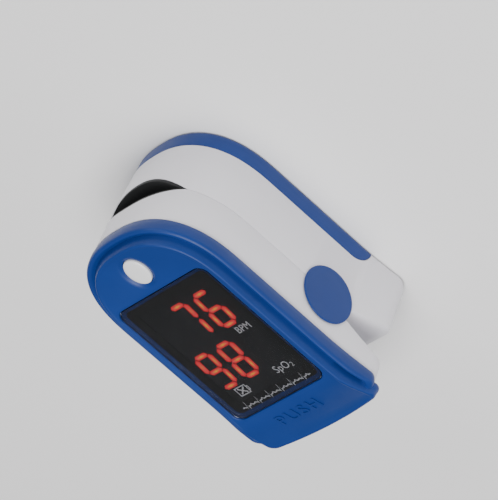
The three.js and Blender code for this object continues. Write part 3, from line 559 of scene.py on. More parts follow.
def skin(rings: Sequence[Points], strips: bool = False) -> Solid:
    """A solid whose skin runs over a stack of rings.

    Args:
        rings: closed rings of equal length, each an array of x, y, z.
        strips: closes the ends with strips from side to side, so that they follow a slope along Y.

    Returns:
        The closed solid.
    """
    count = len(rings[0])
    points = np.vstack(rings)
    faces = []
    for k in range(len(rings) - 1):
        for i in range(count):
            j = (i + 1) % count
            faces.append([k * count + i, k * count + j, (k + 1) * count + j, (k + 1) * count + i])
    for start in (0, (len(rings) - 1) * count):
        if not strips:
            faces.append([start + i for i in range(count)])
            continue
        for i in range(count // 2):
            row = [i, i + 1, (count - i - 1) % count, (count - i) % count]
            faces.append([start + n for n in dict.fromkeys(row)])
    return Solid(points, faces)


def draw_out(outline: Points, axis: Axis, low: float, high: float) -> Solid:
    """Draws a flat outline out along an axis.

    Args:
        outline: (y, z) pairs along X, (x, z) pairs along Y or (x, y) pairs along Z.
        axis: the direction.
        low: where the solid starts.
        high: where it ends.

    Returns:
        The closed solid.
    """
    outline = np.asarray(outline, float)
    return skin([np.insert(outline, axis.value, level, axis=1) for level in (low, high)])


def circle(radius: float, a: float, b: float, sides: int = 72) -> Points:
    """A round outline about (a, b)."""
    turn = np.linspace(0, 2 * math.pi, sides, endpoint=False)
    return np.column_stack([a + radius * np.cos(turn), b + radius * np.sin(turn)])


def bar(radius: float, axis: Axis, a: float, b: float, low: float, high: float, sides: int = 72) -> Solid:
    """A round bar about the point (a, b) of the plane across its axis."""
    return draw_out(circle(radius, a, b, sides), axis, low, high)


def block(x0: float, x1: float, y0: float, y1: float, z0: float, z1: float) -> Solid:
    """A plain box."""
    return draw_out([(x0, y0), (x1, y0), (x1, y1), (x0, y1)], Axis.Z, z0, z1)


def turned(
    profile: Sequence[tuple[float, float]], axis: Axis, a: float, b: float, sides: int = 96,
    scale: tuple[float, float] = (1, 1),
) -> Solid:
    """A solid of revolution.

    Args:
        profile: (radius, height) pairs from one end to the other; the ends are on the axis.
        axis: the axis it is turned about.
        a: the axis's place, the first of the two coordinates across it.
        b: the second one.
        sides: how many sides a turn has.
        scale: stretches the circle into an oval.

    Returns:
        The closed solid.
    """
    rings = []
    for radius, height in profile:
        ring = circle(max(radius, 1e-3), 0, 0, sides) * np.array(scale) + np.array([a, b])
        rings.append(np.insert(ring, axis.value, height, axis=1))
    return skin(rings)


def rounded_rectangle(half_x: float, half_y: float, radius: float, y: float, steps: int = 10) -> Points:
    """A rectangle with round corners, about (0, y)."""
    corners = []
    for quarter, (sx, sy) in enumerate(((1, -1), (1, 1), (-1, 1), (-1, -1))):
        turn = np.radians(np.linspace(-90, 0, steps + 1) + 90 * quarter)
        corners.append(
            np.column_stack(
                [
                    sx * (half_x - radius) + radius * np.cos(turn),
                    y + sy * (half_y - radius) + radius * np.sin(turn),
                ]
            )
        )
    return np.vstack(corners)


def rounded_rings(
    node: str, grow: float, radius: float, rows: Sequence[tuple[float, float]], steps: int = 10
) -> list[Points]:
    """Rounded rectangles round a CAD node's plan.

    Args:
        node: the node.
        grow: how far the plan is grown before the rows are read, in mm.
        radius: the corner radius, in mm.
        rows: each ring's further growth and its height.
        steps: pieces in a corner.

    Returns:
        One ring of points for each row.
    """
    low, high = node_box(node)
    half_x, half_y, y = high.x + grow, (high.y - low.y) / 2 + grow, (low.y + high.y) / 2
    return [
        np.insert(
            rounded_rectangle(half_x + g, half_y + g, radius + g, y, steps), 2, z, axis=1,
        ) for g, z in rows
    ]


def eased(rows: Sequence[tuple[float, ...]], steps: int) -> list[tuple[float, ...]]:
    """Rounds a profile: a Catmull-Rom curve through its rows.

    Args:
        rows: the profile's points, with any number of values each.
        steps: how many pieces each span is divided into.

    Returns:
        The finer profile, with the same ends.
    """
    values = np.array(rows, float)
    ends = np.vstack([2 * values[0] - values[1], values, 2 * values[-1] - values[-2]])
    made = [tuple(values[0])]
    for i in range(1, len(ends) - 2):
        a, b, c, d = ends[i - 1 : i + 3]
        for t in np.linspace(0, 1, steps + 1)[1:]:
            point = 0.5 * (
                2 * b + (c - a) * t + (2 * a - 5 * b + 4 * c - d) * t**2 + (3 * b - a - 3 * c + d) * t**3
            )
            made.append(tuple(point))
    return made

# ---------------------------------------------------------------- plan outlines


@dataclass(frozen=True)
class Outline:
    """A plan outline: a rounded nose, nearly straight sides and a blunt end."""

    half: float
    front: float
    end: float
    corner: float
    bulge: float = 0.0
    flare: float = 0.0

    def points(self) -> Points:
        """The whole outline, anticlockwise from above, from the middle of the nose."""
        shoulder = CASE.front + CASE.nose_length
        power = 2 / CASE.roundness
        turn = np.radians(np.linspace(90, 0, CASE.nose_steps + 1))
        nose = np.column_stack(
            [
                self.half * np.cos(turn).clip(0) ** power,
                shoulder - (shoulder - self.front) * np.sin(turn).clip(0) ** power,
            ]
        )
        nose[0, 0] = 0.0
        bend = self.end - self.bulge - self.corner
        side_y = np.linspace(shoulder, bend, CASE.side_steps + 1)[1:]
        rise = ((side_y - CASE.flare_start) / (bend - CASE.flare_start)).clip(0, 1) ** 2
        side = np.column_stack([self.half + self.flare * rise, side_y])
        wide = self.half + self.flare
        turn = np.radians(np.linspace(0, 90, CASE.corner_steps + 1)[1:])
        corner = np.column_stack([wide - self.corner * (1 - np.cos(turn)), bend + self.corner * np.sin(turn)])
        share = np.linspace(1, 0, CASE.end_steps + 1)[1:]
        end = np.column_stack([(wide - self.corner) * share, self.end - self.bulge * share**2])
        right = np.vstack([nose, side, corner, end])
        left = right[1:-1][::-1] * np.array([-1.0, 1.0])
        return np.vstack([right, left])

    def ring(self, height: float | SlopedHeight) -> Points:
        """The outline at a height, or at a height that depends on Y."""
        flat = self.points()
        z = height(flat[:, 1]) if callable(height) else np.full(len(flat), height)
        return np.column_stack([flat, z])


@dataclass(frozen=True)
class Case:
    """What every moulding shares: the plan, the hinge's place and the parting line."""

    front: float
    end: float
    width: float
    height: float
    hinge_y: float
    hinge_z: float
    nose_length: float = 19.5
    roundness: float = 2.45
    flare_start: float = 12.0
    flare: float = 0.7
    nose_steps: int = 44
    side_steps: int = 40
    corner_steps: int = 8
    end_steps: int = 12
    wall_inset: float = 0.55
    nose_inset: float = 0.1
    taper: float = 0.3
    nose_taper: float = 0.9
    wall: float = 1.3
    parting: float = 17.4
    parting_gap: float = 0.12
    mouth_half: float = 12.7
    mouth_rise: float = 3.1
    mouth_drop: float = 4.2
    reach: float = 22.0  # past either side, for tools that cut right across
    upper_offset: float = 0.25  # the tails' facing slopes: their heights over the axle
    upper_slope: float = 0.276
    lower_offset: float = 0.86
    lower_slope: float = 0.327
    bore: float = 1.33  # radius of the hole that the axle runs in
    mouth_from: float = -40.0  # the stretch along Y that the finger opening is cut over
    mouth_to: float = -20.0
    seat_rise: float = 1.8  # from the tail's slope up to the cover screws' heads

    def wall_outline(self, inset: float, end: float, corner: float) -> Outline:
        """The white walls' outline at the parting line, drawn in by an inset."""
        front = self.front + self.nose_inset + inset
        return Outline(self.width / 2 - self.wall_inset - inset, front, end, corner, flare=self.flare)

    def base_outline(self, inset: float, end: float, corner: float) -> Outline:
        """The walls' outline at the underside, drawn in by an inset."""
        front = self.front + self.nose_inset + self.nose_taper + inset
        return Outline(
            self.width / 2 - self.wall_inset - self.taper - inset, front, end, corner, flare=self.flare,
        )

    def upper_line(self, y: float) -> float:
        """Height of the display half's tail, on its underside."""
        return self.hinge_z + self.upper_offset + self.upper_slope * (y - self.hinge_y)

    def lower_line(self, y: float) -> float:
        """Height of the battery half's tail, on its top."""
        return self.hinge_z + self.lower_offset - self.lower_slope * (y - self.hinge_y)

    def mouth(self, sagitta: float, half: float) -> list[tuple[float, float]]:
        """Half of the finger opening's lens shape, from right to left."""
        across = np.linspace(half, -half, 49)
        return [(x, self.parting + sagitta * (1 - (x / half) ** 2)) for x in across]

    def mouth_tool(self, sagitta: float, z: float) -> Solid:
        """What cuts the finger opening out of a wall, from its arch to a height."""
        shape = [*self.mouth(sagitta, self.mouth_half), (-self.mouth_half, z), (self.mouth_half, z)]
        return draw_out(shape, Axis.Y, self.mouth_from, self.mouth_to)

    def bore_tool(self) -> Solid:
        """What drills the axle's hole right across."""
        return bar(self.bore, Axis.X, self.hinge_y, self.hinge_z, -self.reach, self.reach)

    def screw_seat(self) -> tuple[float, float]:
        """Where the cover screws stand along Y, and the height that their heads bear on."""
        y = middle("cover_screw_left")[1]
        return y, self.upper_line(y) + self.seat_rise

    def across(self, profile: Sequence[tuple[float, float]]) -> Solid:
        """A side profile of (y, z) points, drawn out past both sides."""
        return draw_out(profile, Axis.X, -self.reach, self.reach)


def read_case() -> Case:
    """The case's sizes, from the CAD's boxes and its hinge."""
    low, high = node_box("top_cover")
    hinge = next(j for j in frame["joints"] if j["name"] == "jaw_hinge")
    height = node_box("display_window")[1].z + 0.1
    return Case(low.y, high.y, 2 * (high.x - 0.7), height, hinge["pos_m"][1] / MM, hinge["pos_m"][2] / MM)


def ribbon_drop() -> float:
    """The Y of the ribbon's upright run."""
    return node_box("flex_cable")[1].y - RIBBON_LEAD


CASE = read_case()
SIDES = (("left", -1), ("right", 1))


# ---------------------------------------------------------------- the display half


@dataclass(frozen=True)
class TopCover:
    """The blue cover: a rounded rim, a channel inside it and a raised panel that slopes down to the tail."""

    rim_bottom: float = 26.8
    rim_end: float = 3.3  # how far short of the panel the rim ends
    panel_margin: float = 2.4
    slope_length: float = 10.4
    slope_drop: float = 3.2
    slope_power: float = 1.3
    skin: float = 2.0
    bead: float = 0.14
    post_x: float = 10.0
    post_radius: float = 2.1
    dish: float = 1.0
    dish_depth: float = 0.55
    word_size: float = 4.4
    word_y: float = 22.9

    def slope(self, y: Points) -> Points:
        """How far the panel has dropped at a Y."""
        start = CASE.end - self.slope_length
        return self.slope_drop * ((y - start) / self.slope_length).clip(0) ** self.slope_power

    def height(self, z: float, share: float) -> SlopedHeight:
        """A height that follows a share of the slope."""
        return lambda y: z - share * self.slope(y)

    def rim_ring(self, inset: float, z: float, share: float) -> Points:
        """One ring of the rim."""
        front = CASE.front + inset
        shape = Outline(CASE.width / 2 - inset, front, CASE.end - self.rim_end - inset, 2.2, flare=CASE.flare)
        return shape.ring(self.height(z, share))

    def panel_ring(self, inset: float, z: float, share: float) -> Points:
        """One ring of the raised panel."""
        half = CASE.width / 2 - self.panel_margin - inset
        front = CASE.front + self.panel_margin + inset
        shape = Outline(half, front, CASE.end - max(inset, 0), 1.8, 1.0, 0.9)
        return shape.ring(self.height(z, share))

    def rim(self) -> Solid:
        """The rim's solid, from its foot over its crest to the channel."""
        top = CASE.height
        rows = [(0.2, self.rim_bottom, 0.0), (0.0, self.rim_bottom + 1.4, 0.2), (0.02, top - 2.7, 0.4)]
        crest = [
            (0.02, top - 2.7, 0.4),
            (0.1, top - 2.05, 0.52),
            (0.38, top - 1.62, 0.55),
            (0.75, top - 1.47, 0.55),
            (1.2, top - 1.66, 0.62),
            (1.9, top - 2.3, 1.0),
        ]
        return skin([self.rim_ring(*row) for row in rows[:-1] + eased(crest, 4)], strips=True)

    def panel(self) -> Solid:
        """The raised panel's solid, with the fine bead along its edge."""
        top = CASE.height
        rows = [(-0.6, self.rim_bottom + 0.15, 0.0), (-0.6, top - 2.25, 0.7)]
        edge = [
            (-0.35, top - 1.1, 1.0),
            (-0.1, top - 0.35, 1.0),
            (0.14, top + self.bead - 0.09, 1.0),
            (0.42, top + self.bead, 1.0),
            (0.68, top + self.bead * 0.6, 1.0),
            (0.95, top, 1.0),
        ]
        return skin([self.panel_ring(*row) for row in rows + eased(edge, 4)], strips=True)

    def hollow(self) -> Solid:
        """The room under the cover."""
        ceiling = CASE.height - self.skin
        low = skin(
            [self.rim_ring(1.4, self.rim_bottom - 1, 0.0), self.rim_ring(1.4, CASE.height - 3.5, 1.0)],
            strips=True,
        )
        high = skin(
            [self.panel_ring(1.1, self.rim_bottom - 1, 0.0), self.panel_ring(1.1, ceiling, 1.0)],
            strips=True,
        )
        end_wall = block(-CASE.reach, CASE.reach, CASE.end - 4.6, CASE.end + 1, 20, CASE.height)
        return low.add(high).cut(end_wall)

    def window_seat(self) -> Solid:
        """The recess that the window lies in, with a softened lip."""
        low = node_box("display_window")[0]
        rows = [
            (0.0, low.z - 0.02), (0.0, CASE.height - 0.22), (0.05, CASE.height - 0.08),
            (0.16, CASE.height), (0.16, CASE.height + 1),
        ]
        return skin(rounded_rings("display_window", 0.075, 2.3, rows))

    def ledge_opening(self) -> Solid:
        """The opening inside the ledge that the window is bonded to."""
        low, high = node_box("display_window")
        shape = rounded_rectangle(high.x - 1.15, (high.y - low.y) / 2 - 1.15, 1.3, (low.y + high.y) / 2)
        return draw_out(shape, Axis.Z, CASE.height - self.skin - 1, CASE.height)

    def button_well(self) -> Solid:
        """The button's hole and the soft dish round it."""
        half_x, half_y, y = PowerButton.half_x, PowerButton.half_y, PowerButton.centre()
        rows = [(0.0, CASE.height - self.skin - 1), (0.0, CASE.height - self.dish_depth)]
        rows += eased(
            [
                (0.0, CASE.height - self.dish_depth), (0.3, CASE.height - 0.38),
                (0.7, CASE.height - 0.12), (1.15, CASE.height),
            ],
            3,
        )[1:]
        rows += [(1.5, CASE.height + 0.4)]
        rings = []
        for grow, z in rows:
            ring = circle(1.0, 0, 0) * np.array(
                [half_x + 0.15 + grow, half_y + 0.15 + grow]
            ) + np.array([0.0, y])
            rings.append(np.insert(ring, 2, z, axis=1))
        return skin(rings)

    def moulding(self) -> Solid:
        """The whole cover."""
        cover = self.rim().add(self.panel()).cut(
            self.hollow(), self.window_seat(), self.ledge_opening(), self.button_well(),
        )
        y, seat = CASE.screw_seat()
        for _, side in SIDES:
            post = bar(self.post_radius, Axis.Z, side * self.post_x, y, seat + 2.2, CASE.height - 3)
            cover = cover.add(post).cut(bar(PILOT, Axis.Z, side * self.post_x, y, 20, CASE.height - 4.1))
        return cover

    def word(self) -> bpy.types.Object:
        """The plain word raised on the slope, where the thumb goes."""
        letters = lettering(
            "push_word", "PUSH", self.word_size, 0.0, self.word_y, depth=0.4, stretch=1.0, spacing=1.3,
        )
        spots = np.zeros(len(letters.data.vertices) * 3)
        letters.data.vertices.foreach_get("co", spots)
        spots = spots.reshape(-1, 3)
        spots[:, 2] += (CASE.height - 0.18 - self.slope(spots[:, 1] / MM)) * MM
        letters.data.vertices.foreach_set("co", spots.ravel())
        return settle(letters, Body.DISPLAY, BLUE_ABS)

    def build(self) -> None:
        """Makes and places the cover and its word."""
        self.moulding().place(
            "top_cover_moulding", Body.DISPLAY, BLUE_ABS, "blue_shell", ["top_cover"], edge=0.1,
        )
        self.word()


def lettering(
    name: str,
    text: str,
    size: float,
    x: float,
    y: float,
    depth: float,
    stretch: float = 1.0,
    spacing: float = 1.0,
    slant: float = 0.0,
) -> bpy.types.Object:
    """Plain letters as a mesh in metres, read from the battery side: their tops point to -Y.

    Args:
        name: the object's name.
        text: what they say.
        size: the letters' size, in mm.
        x: the middle of the word, in mm.
        y: the middle of the word's height, in mm.
        depth: how far they are drawn out along Z, in mm.
        stretch: their width over their usual width.
        spacing: the letters' spacing over the usual one.
        slant: how far they lean.

    Returns:
        The object; its letters start at Z 0.
    """
    curve = bpy.data.curves.new(name, "FONT")
    curve.body, curve.size, curve.extrude = text, size, depth / 2
    curve.align_x, curve.align_y = "CENTER", "CENTER"
    curve.space_character, curve.shear, curve.resolution_u = spacing, slant, 4
    holder = link(name, curve)
    graph = bpy.context.evaluated_depsgraph_get()
    mesh = bpy.data.meshes.new_from_object(holder.evaluated_get(graph))
    bpy.data.objects.remove(holder)
    turn = Matrix.Rotation(math.pi, 4, "Z") @ Matrix.Diagonal((stretch, 1, 1, 1))
    mesh.transform(Matrix.Scale(MM, 4) @ Matrix.Translation((x, y, depth / 2)) @ turn)
    work = bmesh.new()
    work.from_mesh(mesh)
    bmesh.ops.remove_doubles(work, verts=work.verts, dist=1e-7)
    bmesh.ops.triangulate(work, faces=[f for f in work.faces if len(f.verts) > 4])
    work.to_mesh(mesh)
    work.free()
    return link(name, mesh)


@dataclass(frozen=True)
class PowerButton:
    """The oval button: a crowned cap on a stem, with a flange that keeps it in."""

    half_x: float = 2.6
    half_y: float = 3.3

    @staticmethod
    def centre() -> float:
        """The button's place along Y."""
        return middle("power_button")[1]

    def build(self) -> None:
        """Makes and places the button."""
        y, top = self.centre(), CASE.height
        ceiling, foot = top - TopCover.skin, node_box("power_button")[0].z
        crown = [
            (1.0, top - 0.42), (0.985, top - 0.3), (0.94, top - 0.18), (0.82, top - 0.07), (0.6, top),
            (0.3, top + 0.028), (0.0, top + 0.033),
        ]
        profile = [(0.0, ceiling - 0.3), (1.0, ceiling - 0.3), *eased(crown, 4)]
        cap = turned(profile, Axis.Z, 0, y, scale=(self.half_x, self.half_y))
        flange = turned(
            [(0, ceiling - 0.75), (1, ceiling - 0.75), (1, ceiling - 0.12), (0, ceiling - 0.12)],
            Axis.Z, 0, y, scale=(self.half_x + 0.8, self.half_y + 0.8),
        )
        stem = bar(1.3, Axis.Z, 0, y, foot, ceiling)
        cap.add(flange, stem).place("button_cap", Body.BUTTON, BUTTON_ABS, "button_white", ["power_button"])


@dataclass(frozen=True)
class UpperShell:
    """The white wall of the display half, its floor over the finger and its sloped tail."""

    skin: float = 1.2
    floor_drop: float = 9.7
    floor_thickness: float = 1.0
    ear: float = 5.9
    inner_ear: float = 4.0
    ear_from: float = 14.0  # the X where the room for the other half's ears starts
    ear_gap: float = 0.25
    lug_width: float = 1.6
    pillar: float = 1.9  # radius of the circuit board's pillars
    hole_half: float = 2.2  # half width of the holes for the sensor and the ribbon

    def outer(self, end: float, bottom: float, top: float) -> Solid:
        """The wall's outside, drawn straight up."""
        shape = CASE.wall_outline(0, end, 3)
        return skin([shape.ring(bottom), shape.ring(top)], strips=True)

    def lug(self, side: int, floor: float) -> Solid:
        """A lug that hangs down to the axle."""
        inner = CASE.width / 2 - CASE.wall_inset - CASE.wall - 0.4
        x0, x1 = sorted((side * inner, side * (inner - self.lug_width)))
        y, z = CASE.hinge_y, CASE.hinge_z
        disc = bar(self.inner_ear, Axis.X, y, z, x0, x1)
        web = block(x0, x1, y - self.inner_ear, y + self.inner_ear, z, floor + 0.3)
        room = CASE.across(
            [(y - 6, 5), (y + 1, 5), (y + 6, CASE.upper_line(y + 6) + 0.3), (y + 6, 30), (y - 6, 30)]
        )
        return disc.add(web.keep(room))

    def moulding(self) -> Solid:
        """The whole shell."""
        c = CASE
        top, bottom = node_box("upper_shell")[1].z, c.parting + c.parting_gap
        end = node_box("upper_shell")[1].y
        floor = c.height - self.floor_drop
        floor_top = floor + self.floor_thickness
        tail = c.hinge_y + self.ear
        inside = Outline(
            c.width / 2 - c.wall_inset - c.wall, c.front + c.nose_inset + c.wall, c.end - 4, 3.2,
            flare=c.flare,
        ).points()
        above = c.across(
            [
                (c.front - 5, floor_top), (tail - 1.8, floor_top), (
                    tail + 0.8, c.upper_line(tail + 0.8) + self.skin,
                ),
                (
                    end - 2.6, c.upper_line(end - 2.6) + self.skin,
                ), (end - 1.6, top - 1.4), (end - 1.6, top + 2), (c.front - 5, top + 2),
            ]
        ).keep(draw_out(inside, Axis.Z, 10, 40))
        below = c.across(
            [
                (c.front - 5, 10), (tail - 0.6, 10), (
                    tail - 0.6, c.upper_line(tail - 0.6),
                ), (tail - 2.8, floor), (c.front - 5, floor),
            ]
        ).keep(draw_out(inside, Axis.Z, 5, 40))
        wedge = c.across(
            [
                (c.hinge_y, 5), (end + 8, 5), (end + 8, top + 0.5), (end + 0.6, top + 0.5), (end, top - 2.2),
                (end - 0.35, c.upper_line(end - 3) + 2.0), (end - 0.8, c.upper_line(end - 3) + 1.2),
                (
                    end - 1.7, c.upper_line(end - 3) + 0.4,
                ), (end - 3, c.upper_line(end - 3)), (c.hinge_y, c.upper_line(c.hinge_y)),
            ]
        )
        body = self.outer(end, bottom, top).cut(above, below, wedge, c.mouth_tool(c.mouth_rise, 10))
        for _, side in SIDES:
            x0, x1 = sorted((side * self.ear_from, side * (c.width / 2 + 1)))
            body = body.cut(bar(self.ear + self.ear_gap, Axis.X, c.hinge_y, c.hinge_z, x0, x1))
        body = body.add(*(self.lug(side, floor) for _, side in SIDES))
        body = body.cut(c.bore_tool())
        sensor, drop = middle("sensor_window")[1], ribbon_drop()
        look = self.floor_thickness + 2
        body = body.cut(
            block(
                -self.hole_half, self.hole_half, sensor - 2.4, sensor + 2.4, floor_top - look,
                floor_top + 0.5,
            ),
            block(-self.hole_half, self.hole_half, drop - 1.4, drop + 1.4, floor_top - look, floor_top + 0.5),
        )
        post_x, (screw_y, seat) = TopCover.post_x, c.screw_seat()
        pin_x, pin_y, _ = middle("board_screw_right")
        board_bottom = node_box("circuit_board")[0].z
        for _, side in SIDES:
            body = body.add(
                bar(
                    TopCover.post_radius, Axis.Z, side * post_x, screw_y, c.upper_line(screw_y) + 0.6,
                    seat + 2.05,
                )
            )
            body = body.cut(
                bar(HEAD_ROOM, Axis.Z, side * post_x, screw_y, 15, seat),
                bar(CLEARANCE_HOLE, Axis.Z, side * post_x, screw_y, 15, 30),
            )
            pillar = bar(self.pillar, Axis.Z, side * pin_x, pin_y, floor_top - 0.5, board_bottom - 0.02)
            body = body.add(pillar.keep(draw_out(inside, Axis.Z, 10, 40)))
            body = body.cut(bar(PILOT, Axis.Z, side * pin_x, pin_y, floor_top + 0.1, 30))
        return body

    def build(self) -> None:
        """Makes and places the shell."""
        self.moulding().place(
            "upper_moulding", Body.DISPLAY, WHITE_ABS, "white_shell", ["upper_shell"], edge=0.12,
        )


# ---------------------------------------------------------------- what repeats or follows a path


def scatter_tree() -> bpy.types.NodeTree:
    """Copies of one shape, one on each point, turned by "turn" and sized by "size"."""
    found = bpy.data.node_groups.get("scatter")
    if found:
        return found
    tree = bpy.data.node_groups.new("scatter", "GeometryNodeTree")
    for name, kind in (
        ("Geometry", "NodeSocketGeometry"),
        ("Shape", "NodeSocketObject"),
        ("Scale", "NodeSocketFloat"),
        ("Finish", "NodeSocketMaterial"),
    ):
        tree.interface.new_socket(name, in_out="INPUT", socket_type=kind)
    tree.interface.new_socket("Geometry", in_out="OUTPUT", socket_type="NodeSocketGeometry")
    entry = add(tree, "NodeGroupInput")
    shape = add(tree, "GeometryNodeObjectInfo", {"Object": entry.outputs["Shape"]})
    turn = add(tree, "GeometryNodeInputNamedAttribute", inputs={"Name": "turn"}, data_type="FLOAT_VECTOR")
    size = add(tree, "GeometryNodeInputNamedAttribute", inputs={"Name": "size"}, data_type="FLOAT_VECTOR")
    scaled = add(
        tree,
        "ShaderNodeVectorMath",
        {0: size.outputs["Attribute"], "Scale": entry.outputs["Scale"]},
        operation="SCALE",
    )
    copies = add(
        tree,
        "GeometryNodeInstanceOnPoints",
        {
            "Points": entry.outputs["Geometry"],
            "Instance": shape.outputs["Geometry"],
            "Rotation": turn.outputs["Attribute"],
            "Scale": scaled.outputs["Vector"],
        },
    )
    real = add(tree, "GeometryNodeRealizeInstances", {"Geometry": copies.outputs["Instances"]})
    dressed = add(
        tree,
        "GeometryNodeSetMaterial",
        {"Geometry": real.outputs["Geometry"], "Material": entry.outputs["Finish"]},
    )
    add(tree, "NodeGroupOutput", {"Geometry": dressed.outputs["Geometry"]})
    return tree


def wire_tree() -> bpy.types.NodeTree:
    """A round wire along each chain of edges."""
    found = bpy.data.node_groups.get("wire")
    if found:
        return found
    tree = bpy.data.node_groups.new("wire", "GeometryNodeTree")
    for name, kind in (
        ("Geometry", "NodeSocketGeometry"),
        ("Radius", "NodeSocketFloat"),
        ("Sides", "NodeSocketInt"),
        ("Finish", "NodeSocketMaterial"),
    ):
        tree.interface.new_socket(name, in_out="INPUT", socket_type=kind)
    tree.interface.new_socket("Geometry", in_out="OUTPUT", socket_type="NodeSocketGeometry")
    entry = add(tree, "NodeGroupInput")
    path = add(tree, "GeometryNodeMeshToCurve", {"Mesh": entry.outputs["Geometry"]})
    ring = add(
        tree,
        "GeometryNodeCurvePrimitiveCircle",
        {"Resolution": entry.outputs["Sides"], "Radius": entry.outputs["Radius"]},
        mode="RADIUS",
    )
    swept = add(
        tree,
        "GeometryNodeCurveToMesh",
        {"Curve": path.outputs["Curve"], "Profile Curve": ring.outputs["Curve"]},
        {"Fill Caps": True},
    )
    real = add(tree, "GeometryNodeRealizeInstances", {"Geometry": swept.outputs["Mesh"]})
    dressed = add(
        tree,
        "GeometryNodeSetMaterial",
        {"Geometry": real.outputs["Geometry"], "Material": entry.outputs["Finish"]},
    )
    add(tree, "NodeGroupOutput", {"Geometry": dressed.outputs["Geometry"]})
    return tree


def grow(name: str, tree: bpy.types.NodeTree, base: bpy.types.Mesh, inputs: dict) -> bpy.types.Object:
    """Runs a tree on a mesh and keeps the result as a plain mesh.

    Args:
        name: the new object's name.
        tree: the Geometry Nodes tree.
        base: the points or edges that it starts from, in mm.
        inputs: values for the tree's named inputs.

    Returns:
        The object, still in mm, with no modifier.
    """
    holder = bpy.data.objects.new(name + "_base", base)
    bpy.context.scene.collection.objects.link(holder)
    modifier = holder.modifiers.new("grow", "NODES")
    modifier.node_group = tree
    for item in tree.interface.items_tree:
        if item.in_out == "INPUT" and item.name in inputs:
            modifier[item.identifier] = inputs[item.name]
    graph = bpy.context.evaluated_depsgraph_get()
    mesh = bpy.data.meshes.new_from_object(holder.evaluated_get(graph))
    bpy.data.objects.remove(holder)
    return link(name, mesh)


def scattered(name: str, shape: Solid, rows: Sequence[tuple], finish: Finish) -> bpy.types.Object:
    """Copies of a shape.

    Args:
        name: the new object's name.
        shape: what is copied, in mm, about its own origin.
        rows: for each copy its place, its turn in degrees about X, Y and Z, and its size.
        finish: what the copies are made of.

    Returns:
        One plain mesh, in mm.
    """
    base = bpy.data.meshes.new(name + "_points")
    base.from_pydata([tuple(row[0]) for row in rows], [], [])
    turns = np.radians([row[1] for row in rows]).ravel()
    sizes = np.array([row[2] for row in rows], float).ravel()
    for label, values in (("turn", turns), ("size", sizes)):
        base.attributes.new(label, "FLOAT_VECTOR", "POINT").data.foreach_set(
            "vector", values.astype(np.float32),
        )
    pattern = bpy.data.objects.new(name + "_pattern", shape.mesh)
    bpy.context.scene.collection.objects.link(pattern)
    made = grow(name, scatter_tree(), base, {"Shape": pattern, "Scale": 1.0, "Finish": finish.material()})
    bpy.data.objects.remove(pattern)
    return made


def wired(name: str, paths: Sequence[Points], radius: float, sides: int, finish: Finish) -> bpy.types.Object:
    """Round wires along paths, as one plain mesh in mm."""
    points, edges = [], []
    for path in paths:
        start = len(points)
        closed = np.allclose(path[0], path[-1])
        kept = path[:-1] if closed else path
        points += [tuple(map(float, p)) for p in kept]
        edges += [(start + i, start + i + 1) for i in range(len(kept) - 1)]
        if closed:
            edges.append((start + len(kept) - 1, start))
    base = bpy.data.meshes.new(name + "_path")
    base.from_pydata(points, edges, [])
    return grow(name, wire_tree(), base, {"Radius": radius, "Sides": sides, "Finish": finish.material()})


def to_metres(piece: bpy.types.Object) -> bpy.types.Object:
    """Shrinks an object's mesh from millimetres to metres."""
    piece.data.transform(Matrix.Scale(MM, 4))
    return piece


# ---------------------------------------------------------------- the display

LIT = {"6": "acdefg", "7": "abc", "8": "abcdefg", "9": "abcdfg"}


